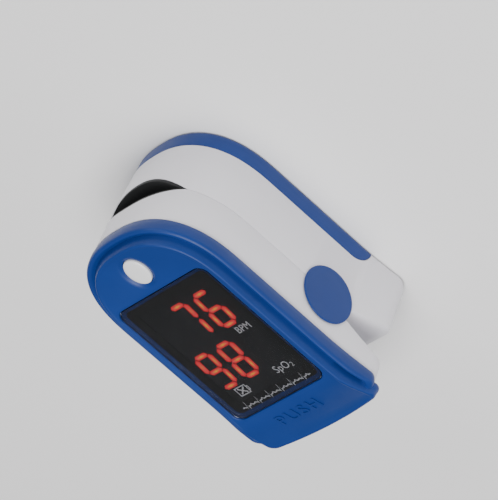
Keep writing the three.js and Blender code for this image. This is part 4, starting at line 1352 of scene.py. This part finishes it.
@dataclass(frozen=True)
class Display:
    """The smoked window, the lamp module under it, its two readings and the printed marks."""

    digit_height: float = 9.0  # between the middles of the top and bottom bars
    digit_width: float = 3.9
    bar_width: float = 1.3
    bar_gap: float = 0.16
    slant: float = 0.07
    module_corner: float = 0.8

    def window(self) -> bpy.types.Object:
        """The window, with its top edge rounded."""
        low, high = node_box("display_window")
        rows = [
            (-0.12, low.z), (0.0, low.z + 0.12), (0.0, high.z - 0.2), (-0.03, high.z - 0.09),
            (-0.1, high.z - 0.02), (-0.2, high.z),
        ]
        rings = rounded_rings("display_window", 0.0, 2.3, rows)
        return skin(rings).place(
            "display_glass", Body.DISPLAY, SMOKED_ACRYLIC, "smoked_window", ["display_window"],
        )

    def mask(self) -> bpy.types.Object:
        """The black print on the window's back, with a clear opening over the module."""
        low, high = node_box("display_window")
        module_low, module_high = node_box("led_display")
        y, module_y = (low.y + high.y) / 2, (module_low.y + module_high.y) / 2
        sheet = draw_out(
            rounded_rectangle(
                high.x - 0.05, (high.y - low.y) / 2 - 0.05, 2.2, y,
            ), Axis.Z, low.z - 0.12, low.z - 0.04
        )
        opening = rounded_rectangle(10.0, 13.95, 0.25, module_y, 3)
        sheet.cut(draw_out(opening, Axis.Z, low.z - 1, low.z + 1))
        return sheet.place("window_mask", Body.DISPLAY, MASK_INK, "smoked_window")

    def module(self) -> bpy.types.Object:
        """The lamp module: a dark tray filled with grey epoxy."""
        low, high = node_box("led_display")
        half_x, half_y, y = high.x, (high.y - low.y) / 2, (low.y + high.y) / 2
        rows = [
            (0.0, low.z), (0.0, high.z - 0.1), (0.1, high.z), (0.5, high.z), (0.56, high.z - 0.06),
            (0.7, high.z - 0.08),
        ]
        plans = [rounded_rectangle(half_x - g, half_y - g, self.module_corner, y, 4) for g, _ in rows]
        rings = [np.insert(plan, 2, z, axis=1) for plan, (_, z) in zip(plans, rows)]
        return skin(rings).place("lamp_module", Body.DISPLAY, MODULE_EPOXY, "display_module", ["led_display"])

    def film(self) -> bpy.types.Object:
        """The dark film over the lamps, close under the window, on which the numbers show."""
        low, high = node_box("led_display")
        shape = rounded_rectangle(high.x - 0.3, (high.y - low.y) / 2 - 0.3, 0.6, (low.y + high.y) / 2, 4)
        top = self.film_top()
        return draw_out(shape, Axis.Z, top - 0.08, top).place(
            "lamp_film", Body.DISPLAY, MODULE_EPOXY, "display_module",
        )

    @staticmethod
    def film_top() -> float:
        """Height of the film's upper face."""
        return node_box("display_window")[0].z - 0.2

    def bar_shape(self) -> Solid:
        """One lit bar, 1 mm long between its tips along X, with its glow by distance from the middle."""
        rings, glows = [], []
        tip = 0.14
        for share, z, glow in (
            (1.0, -0.06, 0.0), (1.0, 0.0, 0.0), (0.74, 0.012, 0.3), (0.48, 0.02, 0.62), (0.2, 0.024, 1.0),
        ):
            half = self.bar_width / 2 * share
            length = 0.5 - 0.16 * (1 - share)
            ring = [(-length, 0), (-length + tip * share, -half), (0.0, -half), (length - tip * share, -half)]
            ring += [(length, 0), (length - tip * share, half), (0.0, half), (-length + tip * share, half)]
            rings.append(np.array([(a, b, z) for a, b in ring]))
            glows += [glow * (0.55 if abs(a) > 0.3 else 1.0) for a, _ in ring]
        made = skin(rings)
        spots = {tuple(np.round(p, 5)): g for p, g in zip(np.vstack(rings), glows)}
        found = [spots[tuple(np.round(v.co, 5))] for v in made.mesh.vertices]
        made.mesh.attributes.new("glow", "FLOAT", "POINT").data.foreach_set("value", found)
        return made

    def bars(self, digit: str, x: float, y: float, z: float) -> list[tuple]:
        """The lit bars of one digit, about the middle of the digit."""
        w, h = self.digit_width / 2, self.digit_height / 2
        flat, upright = 2 * w - 2 * self.bar_gap, h - 2 * self.bar_gap
        places = {
            "a": (0, h, 0), "g": (0, 0, 0), "d": (0, -h, 0),
            "f": (-w, h / 2, 90), "b": (w, h / 2, 90), "e": (-w, -h / 2, 90), "c": (w, -h / 2, 90),
        }
        rows = []
        for bar_name in LIT[digit]:
            across, up, turn = places[bar_name]
            length = upright if turn else flat
            lean = math.degrees(math.atan(self.slant)) if turn else 0.0
            rows.append(((x - across - self.slant * up, y - up, z), (0, 0, turn - lean), (length, 1.0, 1.0)))
        return rows

    def readings(self) -> None:
        """The two numbers, each digit made of the same bar."""
        z = self.film_top() + 0.02
        for name, digits in (
            ("reading_rate", (("7", 0.95, -6.55), ("6", -6.0, -6.55))),
            ("reading_oxygen", (("9", 7.3, 5.75), ("8", 0.55, 5.75))),
        ):
            rows = [row for digit, x, y in digits for row in self.bars(digit, x, y, z)]
            piece = to_metres(scattered(name, self.bar_shape(), rows, SEGMENT_LAMP))
            settle(piece, Body.DISPLAY, SEGMENT_LAMP)

    def marks(self) -> None:
        """The unit names, the battery sign and the pulse line, printed on the window's back."""
        z = node_box("display_window")[0].z - 0.03
        for name, text, size, x, y in (
            ("label_rate", "BPM", 2.5, -7.5, 0.1),
            ("label_oxygen", "SpO", 2.7, -6.2, 12.0),
            ("label_oxygen_index", "2", 1.7, -8.9, 12.5),
        ):
            label = lettering(name, text, size, x, y, depth=0.02, stretch=0.86, spacing=1.04)
            label.data.transform(Matrix.Translation((0, 0, z * MM)))
            settle(label, Body.DISPLAY, LABEL_INK)
        cx, cy = 6.2, 12.45
        corners = ((1.55, 1.1), (-1.35, 1.1), (-1.35, -1.1), (1.55, -1.1), (1.55, 1.1))
        frame_line = [(cx + a, cy + b, 0) for a, b in corners]
        nib = [(cx - 1.35 - a, cy + b, 0) for a, b in ((0, 0.5), (0.42, 0.5), (0.42, -0.5), (0, -0.5))]
        cross = [
            [(cx + 1.0, cy + 0.8, 0), (cx - 0.8, cy - 0.8, 0)],
            [(cx + 1.0, cy - 0.8, 0), (cx - 0.8, cy + 0.8, 0)],
        ]
        icon = [np.array(p, float) for p in (frame_line, nib, *cross)]
        beat = (
            (0, 0), (0.35, 0.25), (0.6, 0), (0.9, 0), (1.05, -0.35), (1.3, 1.5), (1.55, -0.8), (1.7, 0),
            (2.2, 0), (2.55, 0.4), (2.9, 0),
        )
        trace = []
        for k in range(6):
            trace += [(10.2 - 3.4 * k - a, 16.35 - b, 0) for a, b in beat]
        trace.append((-10.2, 16.35, 0))
        for name, paths, radius in (
            ("battery_sign", icon, 0.17), ("pulse_line", [np.array(trace, float)], 0.15),
        ):
            piece = wired(name, paths, radius, 8, LABEL_INK)
            piece.data.transform(Matrix.Translation((0, 0, z)) @ Matrix.Diagonal((1, 1, 0.12, 1)))
            settle(to_metres(piece), Body.DISPLAY, LABEL_INK)

    def build(self) -> None:
        """Makes and places the display."""
        self.window()
        self.mask()
        self.module()
        self.film()
        self.readings()
        self.marks()


# ---------------------------------------------------------------- the battery half


@dataclass(frozen=True)
class LowerShell:
    """The white wall of the battery half, with the ears that carry the axle and the sloped tail."""

    bottom: float = 0.55
    ear: float = 5.9
    door_end: float = 15.85
    door_height: float = 4.3
    door_tip: float = 4.2
    gap: float = 0.12

    def band_end(self, grown: float) -> list[tuple[float, float]]:
        """The rounded end of the battery cover's band, in side view."""
        turn = np.radians(np.linspace(90, 0, 25))
        length, height = self.door_tip + grown, self.door_height - 0.5 + grown
        return [
            (self.door_end - self.door_tip + length * math.cos(a), 0.5 + height * math.sin(a)) for a in turn
        ]

    def side_view(self, end: float) -> Solid:
        """The shell's outline from the side."""
        c, b = CASE, self.bottom
        tail = [
            (end - 3.9, b), (end - 2.5, b + 0.3), (end - 0.9, b + 1.65), (end + 0.02, b + 3.8),
            (end + 0.3, c.lower_line(end) - 1.3), (end - 0.2, c.lower_line(end) - 0.3),
            (end - 1.2, c.lower_line(end - 1.2)),
        ]
        parting_y = c.hinge_y + (c.hinge_z + c.lower_offset - c.parting) / c.lower_slope
        return c.across([(c.front - 2, b), *eased(tail, 5), (parting_y, c.parting), (c.front - 2, c.parting)])

    def moulding(self) -> Solid:
        """The whole shell."""
        c = CASE
        end, face, corner = c.end - 3.6, c.width / 2 - c.wall_inset, 3.2
        outer = skin(
            [c.base_outline(0, end, corner).ring(0), c.wall_outline(0, end, corner).ring(c.parting)],
            strips=True,
        )
        body = outer.keep(self.side_view(end))
        for _, side in SIDES:
            x0, x1 = sorted((side * face, side * (face - c.wall)))
            body = body.add(bar(self.ear, Axis.X, c.hinge_y, c.hinge_z, x0, x1, 120))
        floor, tail, door = self.bottom + 0.8, c.hinge_y + self.ear, self.door_end + self.gap
        inside = c.across(
            [
                (c.front - 2, -1), (door, -1), (door, floor), (end - 3.1, floor), (end - 1.8, floor + 1.6), (
                    end - 1.35, floor + 3.4,
                ),
                (
                    end - 1.35, c.lower_line(end - 1.35) - 1.25,
                ), (tail - 0.4, c.lower_line(tail - 0.4) - 1.25), (tail - 0.4, 30), (c.front - 2, 30),
            ]
        )
        hollow = skin(
            [
                c.base_outline(c.wall, end - 1.3, corner - 1).ring(-1),
                c.wall_outline(c.wall, end - 1.3, corner - 1).ring(30),
            ],
            strips=True,
        )
        band = c.across(
            [
                (c.front - 2, -1), (door, -1), *self.band_end(self.gap)[::-1],
                (c.front - 2, self.door_height + self.gap),
            ]
        )
        body = body.cut(inside.keep(hollow), band, c.mouth_tool(-c.mouth_drop, 30), c.bore_tool())
        tray_top = node_box("battery_tray")[1].z
        x, y, _ = middle("tray_screw_right")
        for _, side in SIDES:
            x0, x1 = sorted((side * c.reach, side * (face - 0.9)))
            body = body.cut(bar(2.0, Axis.X, c.hinge_y, c.hinge_z, x0, x1))
            lug = block(side * x - 2, side * x + 2, y - 4, y + 1.5, 7.9, tray_top - 1.15)
            slab = skin(
                [c.base_outline(0.5, end, 3).ring(-1), c.wall_outline(0.5, end, 3).ring(30)], strips=True,
            )
            body = body.add(lug.keep(slab)).cut(bar(PILOT, Axis.Z, side * x, y, 5, tray_top - 1.3))
        return body

    def build(self) -> None:
        """Makes and places the shell."""
        self.moulding().place(
            "lower_moulding", Body.BATTERY, WHITE_ABS, "white_shell", ["lower_shell"], edge=0.12,
        )


@dataclass(frozen=True)
class BatteryCover:
    """The blue cover that slides off the underside, with finger grips and two hooks."""

    skin: float = 1.3
    grips: int = 6
    grip_pitch: float = 2.0
    grip_depth: float = 0.35

    def grip_shape(self) -> Solid:
        """One grip's groove, 1 mm to each side, with sloped flanks."""
        profile = [
            (-0.5, -0.2), (0.5, -0.2), (0.42, 0.1), (0.25, self.grip_depth), (-0.25, self.grip_depth),
            (-0.42, 0.1),
        ]
        return draw_out(profile, Axis.X, -1, 1)

    def moulding(self) -> Solid:
        """The whole cover."""
        c, shell = CASE, LowerShell()
        end, lip = c.end - 3, shell.door_height
        rows = eased([(0.95, 0.0), (0.42, 0.1), (0.12, 0.35), (-0.02, 0.75), (-0.06, 1.2)], 3) + [(-0.1, lip)]
        shape = skin([c.base_outline(inset, end, 2).ring(z) for inset, z in rows], strips=True)
        view = c.across([(c.front - 2, 0), (shell.door_end, 0), *shell.band_end(0)[::-1], (c.front - 2, lip)])
        inside = c.base_outline(c.wall, c.end - 4, 3.2).points()
        body = shape.keep(view).cut(draw_out(inside, Axis.Z, self.skin, 20))
        hook = [(12.55, 1.0), (13.4, 1.0), (13.4, 4.05), (11.95, 4.05), (11.95, 3.3), (12.55, 3.3)]
        for _, side in SIDES:
            body = body.add(
                draw_out([(side * x, z) for x, z in hook], Axis.Y, shell.door_end - 25, shell.door_end - 4.2)
            )
        start = node_box("battery_left")[0].y + 3.15 + 0.45
        rows = [
            ((0, start + i * self.grip_pitch, 0), (0, 0, 0), (6 + 0.6 * i, 1, 1)) for i in range(self.grips)
        ]
        grooves = scattered("grip_grooves", self.grip_shape(), rows, BLUE_ABS)
        tool = Solid([], [])
        tool.mesh = grooves.data
        bpy.data.objects.remove(grooves)
        return body.cut(tool)

    def build(self) -> None:
        """Makes and places the cover."""
        self.moulding().place(
            "battery_cover_moulding", Body.DOOR, BLUE_ABS, "blue_shell", ["battery_cover"], edge=0.1,
        )


@dataclass(frozen=True)
class FingerPads:
    """The two rubber mouldings that hold the finger, each hollowed like half a lens."""

    lift: float = 0.15
    lip_height: float = 0.8

    def sides(self) -> float:
        """Half of the pads' width."""
        return CASE.width / 2 - CASE.wall_inset - CASE.wall - 0.75

    def lip(self, sagitta: float, shape: Outline) -> Solid:
        """The rubber edge that lines the shell's half of the mouth.

        Args:
            sagitta: the mouth's rise, or its drop as a negative number.
            shape: the plan that the lip's front follows.

        Returns:
            The lip, from the shell's face back to the pad.
        """
        c, turn = CASE, math.copysign(1, sagitta)
        outer = c.mouth(sagitta - turn * 0.05, c.mouth_half - 0.15)
        inner = c.mouth(sagitta - turn * (0.05 + self.lip_height), c.mouth_half - self.lip_height * 1.6)
        clear = turn * 0.12
        ring = [(x, z + clear) for x, z in outer] + [(x, z + clear) for x, z in inner[::-1]]
        strip = draw_out(ring, Axis.Y, c.front - 2, c.front + c.nose_length)
        return strip.keep(draw_out(shape.points(), Axis.Z, 5, 30))

    def upper(self) -> Solid:
        """The display half's pad."""
        c, low, side = CASE, CASE.parting + 0.3, self.sides()
        end, top = node_box("upper_finger_pad")[1].y, node_box("upper_finger_pad")[1].z
        arch = [(x, max(z, low)) for x, z in c.mouth(c.mouth_rise - self.lift, c.mouth_half - 0.1)]
        inner = c.wall + 0.15
        room = Outline(c.width / 2 - c.wall_inset - inner, c.front + c.nose_inset + inner, end, 2).points()
        profile = tidy_outline([(-side, top), (-side, low), *arch[::-1], (side, low), (side, top)])
        body = draw_out(profile, Axis.Y, c.front, end).keep(draw_out(room, Axis.Z, 10, 30))
        y = (node_box("sensor_window")[0].y + node_box("sensor_window")[1].y) / 2
        body = body.cut(block(-2.9, 2.9, y - 3.1, y + 3.1, 10, 30))
        return body.add(self.lip(c.mouth_rise, c.wall_outline(0.12, end, 2)))

    def lower(self) -> Solid:
        """The battery half's pad, with the stop for the fingertip."""
        c, high, side = CASE, CASE.parting - 0.2, self.sides()
        end, base = node_box("lower_finger_pad")[1].y, node_box("battery_tray")[1].z + 0.08
        arch = [(x, min(z, high)) for x, z in c.mouth(-(c.mouth_drop - self.lift), c.mouth_half - 0.1)]
        radius, lift = 6.0, 4.95
        half = math.sqrt(radius**2 - lift**2)
        keel = [(x, base + lift - math.sqrt(radius**2 - x**2)) for x in np.linspace(-half, half, 25)]
        inner = c.wall + 0.15
        front = c.front + c.nose_inset + c.nose_taper + inner
        room = Outline(c.width / 2 - c.wall_inset - c.taper - inner, front, end, 2).points()
        profile = tidy_outline([(-side, base), *keel, (side, base), (side, high), *arch, (-side, high)])
        body = draw_out(profile, Axis.Y, c.front, end).keep(draw_out(room, Axis.Z, 5, 30))
        top = node_box("lower_finger_pad")[1].z
        stop = [
            (-9, c.parting - 3), (9, c.parting - 3), (9, top - 1), (8.7, top - 0.3), (8, top), (-8, top),
            (-8.7, top - 0.3), (-9, top - 1),
        ]
        body = body.add(draw_out(stop, Axis.Y, end - 1.4, end))
        y = (node_box("emitter_window")[0].y + node_box("emitter_window")[1].y) / 2
        body = body.cut(block(-2.2, 2.2, y - 2.6, y + 2.6, 5, 30))
        return body.add(self.lip(-c.mouth_drop, c.wall_outline(0.3, end, 2)))

    def build(self) -> None:
        """Makes and places both pads."""
        self.upper().place(
            "upper_pad_moulding", Body.DISPLAY, SILICONE, "silicone", ["upper_finger_pad"], edge=0.15,
            crease=40,
        )
        self.lower().place(
            "lower_pad_moulding", Body.BATTERY, SILICONE, "silicone", ["lower_finger_pad"], edge=0.15,
            crease=40,
        )


def tidy_outline(points: Sequence[tuple[float, float]]) -> list[tuple[float, float]]:
    """Drops points that repeat the one before, which a clipped arch leaves."""
    kept = [points[0]]
    for point in points[1:]:
        if math.dist(point, kept[-1]) > 1e-4:
            kept.append(point)
    return kept


@dataclass(frozen=True)
class Hinge:
    """The caps over the axle's ends, the axle, the two torsion springs and the ribbon that passes them."""

    cap_radius: float = 6.3
    coil: float = 2.1
    wire: float = 0.35
    turns: int = 4
    spring_x: float = 9.0
    leg: float = 9.2
    ribbon_half: float = 1.5
    ribbon_thickness: float = 0.22

    def caps(self) -> None:
        """The blue discs, with a soft edge and a faint crown."""
        face = CASE.width / 2 - CASE.wall_inset
        near, far = face + 0.1, node_box("pivot_cap_right")[1].x
        radius = self.cap_radius
        rim = eased(
            [
                (radius, far - 0.22), (radius - 0.07, far - 0.08), (radius - 0.28, far - 0.01),
                (radius - 0.7, far + 0.0),
            ],
            3,
        )
        crown = [(radius * share, far + 0.06 * (1 - share**2)) for share in (0.7, 0.5, 0.3, 0.0)]
        profile = [
            (0, near - 0.9), (1.85, near - 0.9), (1.85, near), (radius - 0.1, near),
            (radius, near + 0.06), *rim, *crown,
        ]
        for name, side in SIDES:
            cap = turned([(r, side * x) for r, x in profile], Axis.X, CASE.hinge_y, CASE.hinge_z, 120)
            cap.place("pivot_disc_" + name, Body.BATTERY, BLUE_ABS, "blue_shell", ["pivot_cap_" + name])

    def axle(self) -> None:
        """The turned axle, with its ends chamfered."""
        low, high = node_box("hinge_axle")
        profile = [
            (0, low.x), (1.1, low.x), (1.25, low.x + 0.15), (1.25, high.x - 0.15), (1.1, high.x),
            (0, high.x),
        ]
        rod = turned(profile, Axis.X, CASE.hinge_y, CASE.hinge_z, 64)
        rod.place("axle_rod", Body.BATTERY, PLATED_STEEL, "steel", ["hinge_axle"])

    def spring_path(self, side: int) -> Points:
        """The middle line of one torsion spring: leg, coil and leg."""
        pitch = 2 * self.wire + 0.1
        first, last = math.radians(67), math.radians(-63 + 360 * self.turns)
        x0 = side * (self.spring_x + pitch * self.turns / 2)
        turn = np.linspace(first, last, 40 * self.turns)
        x = x0 - side * pitch * self.turns * (turn - first) / (last - first)
        coil = np.column_stack(
            [x, CASE.hinge_y + self.coil * np.cos(turn), CASE.hinge_z + self.coil * np.sin(turn)]
        )
        start = np.array([0, math.sin(first), -math.cos(first)])
        finish = np.array([0, -math.sin(last), math.cos(last)])
        before = [coil[0] + start * s for s in np.linspace(self.leg, 0.5, 12)]
        after = [coil[-1] + finish * s for s in np.linspace(0.5, self.leg, 12)]
        return np.vstack([before, coil, after])

    def springs(self) -> None:
        """The torsion springs, built in one fixed pose."""
        for name, side in SIDES:
            piece = to_metres(
                wired("return_spring_" + name, [self.spring_path(side)], self.wire, 12, SPRING_WIRE)
            )
            settle(piece, None, SPRING_WIRE, ["torsion_spring_" + name])
            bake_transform(piece)

    def ribbon(self) -> None:
        """The amber ribbon from the circuit board to the lamp's board."""
        drop = ribbon_drop()
        cell_z = middle("battery_left")[2]
        board, ceiling = node_box("circuit_board")[0].z, CASE.height - UpperShell.floor_drop
        route = [
            (RIBBON_LEAD, board - 0.5), (1.6, board - 0.55), (0.5, ceiling + 0.4), (0.1, ceiling - 1.8),
            (0, CASE.hinge_z),
            (
                0, node_box("battery_tray")[1].z + 1.6,
            ), (-0.4, cell_z + 5.6), (-1.6, cell_z + 4.82), (-3, cell_z + 4.82),
        ]
        line = np.array(eased([(drop + y, z) for y, z in route], 8))
        lead = np.gradient(line, axis=0)
        lead /= np.linalg.norm(lead, axis=1)[:, None]
        normal = np.column_stack([-lead[:, 1], lead[:, 0]]) * self.ribbon_thickness / 2
        edge = np.vstack([line + normal, (line - normal)[::-1]])
        rows = [np.insert(edge, 0, x, axis=1) for x in (-self.ribbon_half, self.ribbon_half)]
        count = len(line)
        faces = [
            [
                i, (i + 1) % (2 * count), 2 * count + (i + 1) % (2 * count), 2 * count + i,
            ] for i in range(2 * count)
        ]
        for start in (0, 2 * count):
            faces += [
                [
                    start + i, start + i + 1, start + 2 * count - 2 - i, start + 2 * count - 1 - i,
                ] for i in range(count - 1)
            ]
        made = Solid(np.vstack(rows), faces)
        piece = link("flex_ribbon", made.mesh)
        settle(to_metres(piece), None, POLYIMIDE, ["flex_cable"])
        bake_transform(piece)

    def build(self) -> None:
        """Makes and places the hinge's parts."""
        self.caps()
        self.axle()
        self.springs()
        self.ribbon()


@dataclass(frozen=True)
class Cells:
    """The two cells, lying opposite ways, and the coils that press on them."""

    radius: float = 5.25
    terminal_radius: float = 1.9
    terminal: float = 1.2

    def build(self) -> None:
        """Makes and places the cells and the contact coils."""
        metal = []
        for name, side in SIDES:
            low, high = node_box("battery_" + name)
            x, z = (low.x + high.x) / 2, (low.z + high.z) / 2
            base, tip = (high.y, low.y) if side < 0 else (low.y, high.y)
            r, step = self.radius, side
            film = [(4.55, base + step * 0.0), (r - 0.12, base + step * 0.0), (r, base + step * 0.3)]
            shoulder = tip - step * self.terminal
            film += [
                (r, shoulder - step * 0.6), (r - 0.25, shoulder - step * 0.15), (r - 0.6, shoulder),
                (4.0, shoulder),
            ]
            inner = [(4.0, shoulder - step * 0.12), (4.55, base + step * 0.12)]
            rings = [np.insert(circle(a, x, z, 96), 1, b, axis=1) for a, b in film + inner]
            count, faces = len(rings[0]), []
            for k in range(len(rings)):
                n = (k + 1) % len(rings)
                faces += [
                    [
                        k * count + i, k * count + (i + 1) % count, n * count + (i + 1) % count,
                        n * count + i,
                    ] for i in range(count)
                ]
            Solid(np.vstack(rings), faces).place(
                "cell_film_" + name, Body.BATTERY, CELL_FILM, "cell_sleeve", ["battery_" + name],
            )
            can = [
                (0, base + step * 0.05), (4.4, base + step * 0.05), (4.4, shoulder - step * 0.15),
                (3.2, shoulder - step * 0.1),
            ]
            can += [
                (2.9, shoulder + step * 0.12), (2.1, shoulder + step * 0.12),
                (self.terminal_radius, shoulder + step * 0.3),
            ]
            can += [(self.terminal_radius, tip - step * 0.15), (self.terminal_radius - 0.15, tip), (0, tip)]
            metal.append(turned(can, Axis.Y, x, z, 72))
        metal[0].add(metal[1]).place("cell_cans", Body.BATTERY, PLATED_STEEL, "steel")
        paths = []
        for node in ("contact_spring_rear", "contact_spring_front"):
            low, high = node_box(node)
            x, z = (node_box("battery_left" if "rear" in node else "battery_right")[0].x + self.radius), 0.0
            z = (node_box("battery_left")[0].z + node_box("battery_left")[1].z) / 2
            y0, y1 = (high.y - 0.28, low.y + 0.28) if "rear" in node else (low.y + 0.28, high.y - 0.28)
            t = np.linspace(0, 1, 200)
            turn, radius = 2 * math.pi * 3.5 * t, 3.2 - 1.3 * t
            paths.append(
                np.column_stack([x + radius * np.cos(turn), y0 + (y1 - y0) * t, z + radius * np.sin(turn)])
            )
        coils = to_metres(wired("contact_coils", paths, 0.28, 12, SPRING_WIRE))
        settle(
            coils, Body.BATTERY, SPRING_WIRE,
            ["contact_spring_rear", "contact_spring_front"],
        )


@dataclass(frozen=True)
class Screws:
    """Cross-recessed screws: two in the cover, two in the circuit board and two in the tray."""

    head: float = 1.5
    shank: float = 0.75
    head_height: float = 1.1

    def shape(self, length: float) -> Solid:
        """A screw of one length, its head's top at the origin and its shank pointing to -Z."""
        thread, z = [], -length + 0.5
        while z < -self.head_height - 0.5:
            thread += [(self.shank - 0.12, z), (self.shank, z + 0.16), (self.shank - 0.12, z + 0.32)]
            z += 0.34
        profile = [
            (0, -length), (0.35, -length), (self.shank - 0.12, -length + 0.4), *thread,
            (self.shank, -self.head_height),
        ]
        profile += [
            (self.head, -self.head_height), (self.head, -0.35), (self.head - 0.12, -0.14),
            (self.head - 0.5, 0), (0, 0),
        ]
        screw = turned(profile, Axis.Z, 0, 0, 36)
        arm = [(-0.95, -0.16), (0.95, -0.16), (0.95, 0.16), (-0.95, 0.16)]
        cross = draw_out(arm, Axis.Z, -0.55, 0.5).add(draw_out([(b, a) for a, b in arm], Axis.Z, -0.55, 0.5))
        return screw.cut(cross)

    def build(self) -> None:
        """Makes and places the screws."""
        for name, node, body, down in (
            ("cover_screws", "cover_screw_", Body.DISPLAY, True),
            ("board_screws", "board_screw_", Body.DISPLAY, False),
            ("tray_screws", "tray_screw_", Body.BATTERY, True),
        ):
            rows = []
            for side, _ in SIDES:
                low, high = node_box(node + side)
                spot = ((low.x + high.x) / 2, (low.y + high.y) / 2, low.z if down else high.z)
                rows.append((spot, (180 if down else 0, 0, 25 if side == "left" else 70), (1, 1, 1)))
            piece = to_metres(scattered(name, self.shape(high.z - low.z), rows, PLATED_STEEL))
            settle(piece, body, PLATED_STEEL, [node + side for side, _ in SIDES])


@dataclass(frozen=True)
class Circuit:
    """The small parts on the circuit board, and finishes for the solids that keep their CAD shape."""

    pins: int = 8
    pin_pitch: float = 0.75

    def chip(self) -> None:
        """The chip's legs: two rows of the same bent pin."""
        low, high = node_box("microcontroller")
        z0, z1 = high.z, low.z + 0.35
        shape = draw_out(
            [(0, z0 - z1), (0.75, z0 - z1), (0.75, z0 - z1 - 0.12), (0.36, z0 - z1 - 0.12), (0.3, 0), (0, 0)],
            Axis.Y, -0.15, 0.15,
        )
        rows, centre = [], middle("microcontroller")[1]
        for side, x in ((0, high.x), (180, low.x)):
            for i in range(self.pins):
                y = centre + (i - (self.pins - 1) / 2) * self.pin_pitch
                rows.append(((x, y, z1), (0, 0, side), (1, 1, 1)))
        settle(
            to_metres(scattered("chip_pins", shape, rows, NICKEL_STRIP)), Body.DISPLAY, NICKEL_STRIP,
        )

    def chips(self) -> None:
        """Small resistors in rows on the board's underside."""
        board = node_box("circuit_board")[0].z
        shape = block(-0.5, 0.5, -0.25, 0.25, -0.4, -0.02)
        places = [(5 + 2 * (i % 3), -22 + 1.6 * (i // 3), board) for i in range(12)]
        rows = [(spot, (0, 0, 90 if n % 5 == 0 else 0), (1, 1, 1)) for n, spot in enumerate(places)]
        settle(
            to_metres(scattered("small_resistors", shape, rows, CHIP_RESIN)), Body.DISPLAY, CHIP_RESIN,
        )

    def dress(self) -> None:
        """Gives each CAD solid that stays its finish."""
        finishes = {
            "battery_tray": TRAY_ABS, "circuit_board": SOLDER_MASK, "emitter_board": SOLDER_MASK,
            "microcontroller": CHIP_RESIN, "flex_connector": TRAY_ABS, "photodiode": CHIP_RESIN,
            "tact_switch": CHIP_RESIN, "switch_plunger": BUTTON_ABS, "emitter_led": CLEAR_EPOXY,
            "emitter_window": CLEAR_EPOXY, "sensor_window": CLEAR_EPOXY,
            "link_contact": NICKEL_STRIP, "negative_contact": NICKEL_STRIP, "positive_contact": NICKEL_STRIP,
        }
        for name, finish in finishes.items():
            node = frame["nodes"][name]
            for slot in node.material_slots:
                slot.material = finish.material()
            LOG.info("%s: kept from the CAD", name)

    def build(self) -> None:
        """Makes the small parts and dresses the CAD solids."""
        self.chip()
        self.chips()
        self.dress()


# ---------------------------------------------------------------- the studio


# Each soft light's name, place and width in metres, and power in watts.
LIGHTS = (
    ("key", (-0.34, -0.12, 0.85), 0.5, 8.0),
    ("fill", (-0.65, 0.55, 0.35), 0.6, 1.2),
    ("top", (-0.05, 0.1, 0.95), 0.5, 3.0),
    ("nose", (-0.2, -0.8, 0.35), 0.5, 1.6),
)


@dataclass(frozen=True)
class Studio:
    """The floor, the soft lights and the camera."""

    back: tuple[float, float, float] = (-0.668, -0.329, 0.666)
    up: tuple[float, float, float] = (-0.374, -0.624, -0.684)
    distance: float = 0.7008
    lens: float = 253.5
    aim_right: float = 5.71
    aim_up: float = 19.07
    floor_half: float = 2.0
    look_height: float = 0.015  # the lights face this height on the Z axis
    room: str = "#f3f4f6"
    room_strength: float = 0.22

    def floor(self) -> None:
        """A wide pale board."""
        size = self.floor_half
        mesh = bpy.data.meshes.new("floor")
        mesh.from_pydata(
            [(-size, -size, 0), (size, -size, 0), (size, size, 0), (-size, size, 0)], [], [(0, 1, 2, 3)],
        )
        mesh.materials.append(BOARD_PAINT.material())
        link("floor", mesh)

    def light(self, name: str, spot: tuple[float, float, float], size: float, power: float) -> None:
        """A square soft light that faces the object."""
        lamp = bpy.data.lights.new(name, "AREA")
        lamp.size, lamp.energy = size, power
        made = link(name, lamp)
        made.location = spot
        made.rotation_mode = "QUATERNION"
        made.rotation_quaternion = (Vector(spot) - Vector((0, 0, self.look_height))).to_track_quat("Z", "Y")

    def camera(self) -> None:
        """The camera, rolled so that the tail points to the lower right."""
        back = Vector(self.back).normalized()
        up = Vector(self.up)
        right = up.cross(back).normalized()
        up = back.cross(right)
        window_low, window_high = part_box("display_window")
        aim = Vector((0, (window_low.y + window_high.y) / 2, CASE.height * MM))
        aim += right * self.aim_right * MM + up * self.aim_up * MM
        lens = bpy.data.cameras.new("camera")
        lens.lens, lens.sensor_width = self.lens, 36.0
        lens.clip_start, lens.clip_end = 0.01, 50.0
        camera = link("camera", lens)
        turn = Matrix((right, up, back)).transposed().to_4x4()
        camera.matrix_world = Matrix.Translation(aim + back * self.distance) @ turn
        bpy.context.scene.camera = camera

    def build(self) -> None:
        """Sets the stage."""
        self.floor()
        for light in LIGHTS:
            self.light(*light)
        world = bpy.data.worlds.new("room")
        world.use_nodes = True
        background = world.node_tree.nodes["Background"].inputs
        background["Color"].default_value = linear(self.room)
        background["Strength"].default_value = self.room_strength
        bpy.context.scene.world = world
        self.camera()


def main() -> None:
    """Builds the object piece by piece."""
    logging.basicConfig(level=logging.INFO, format="%(message)s")
    Studio().build()
    for assembly in (
        TopCover(), Display(), PowerButton(), UpperShell(), LowerShell(), BatteryCover(),
        FingerPads(), Hinge(), Cells(), Screws(), Circuit(),
    ):
        LOG.info("building %s", type(assembly).__name__)
        assembly.build()


if __name__ == "__main__":
    main()
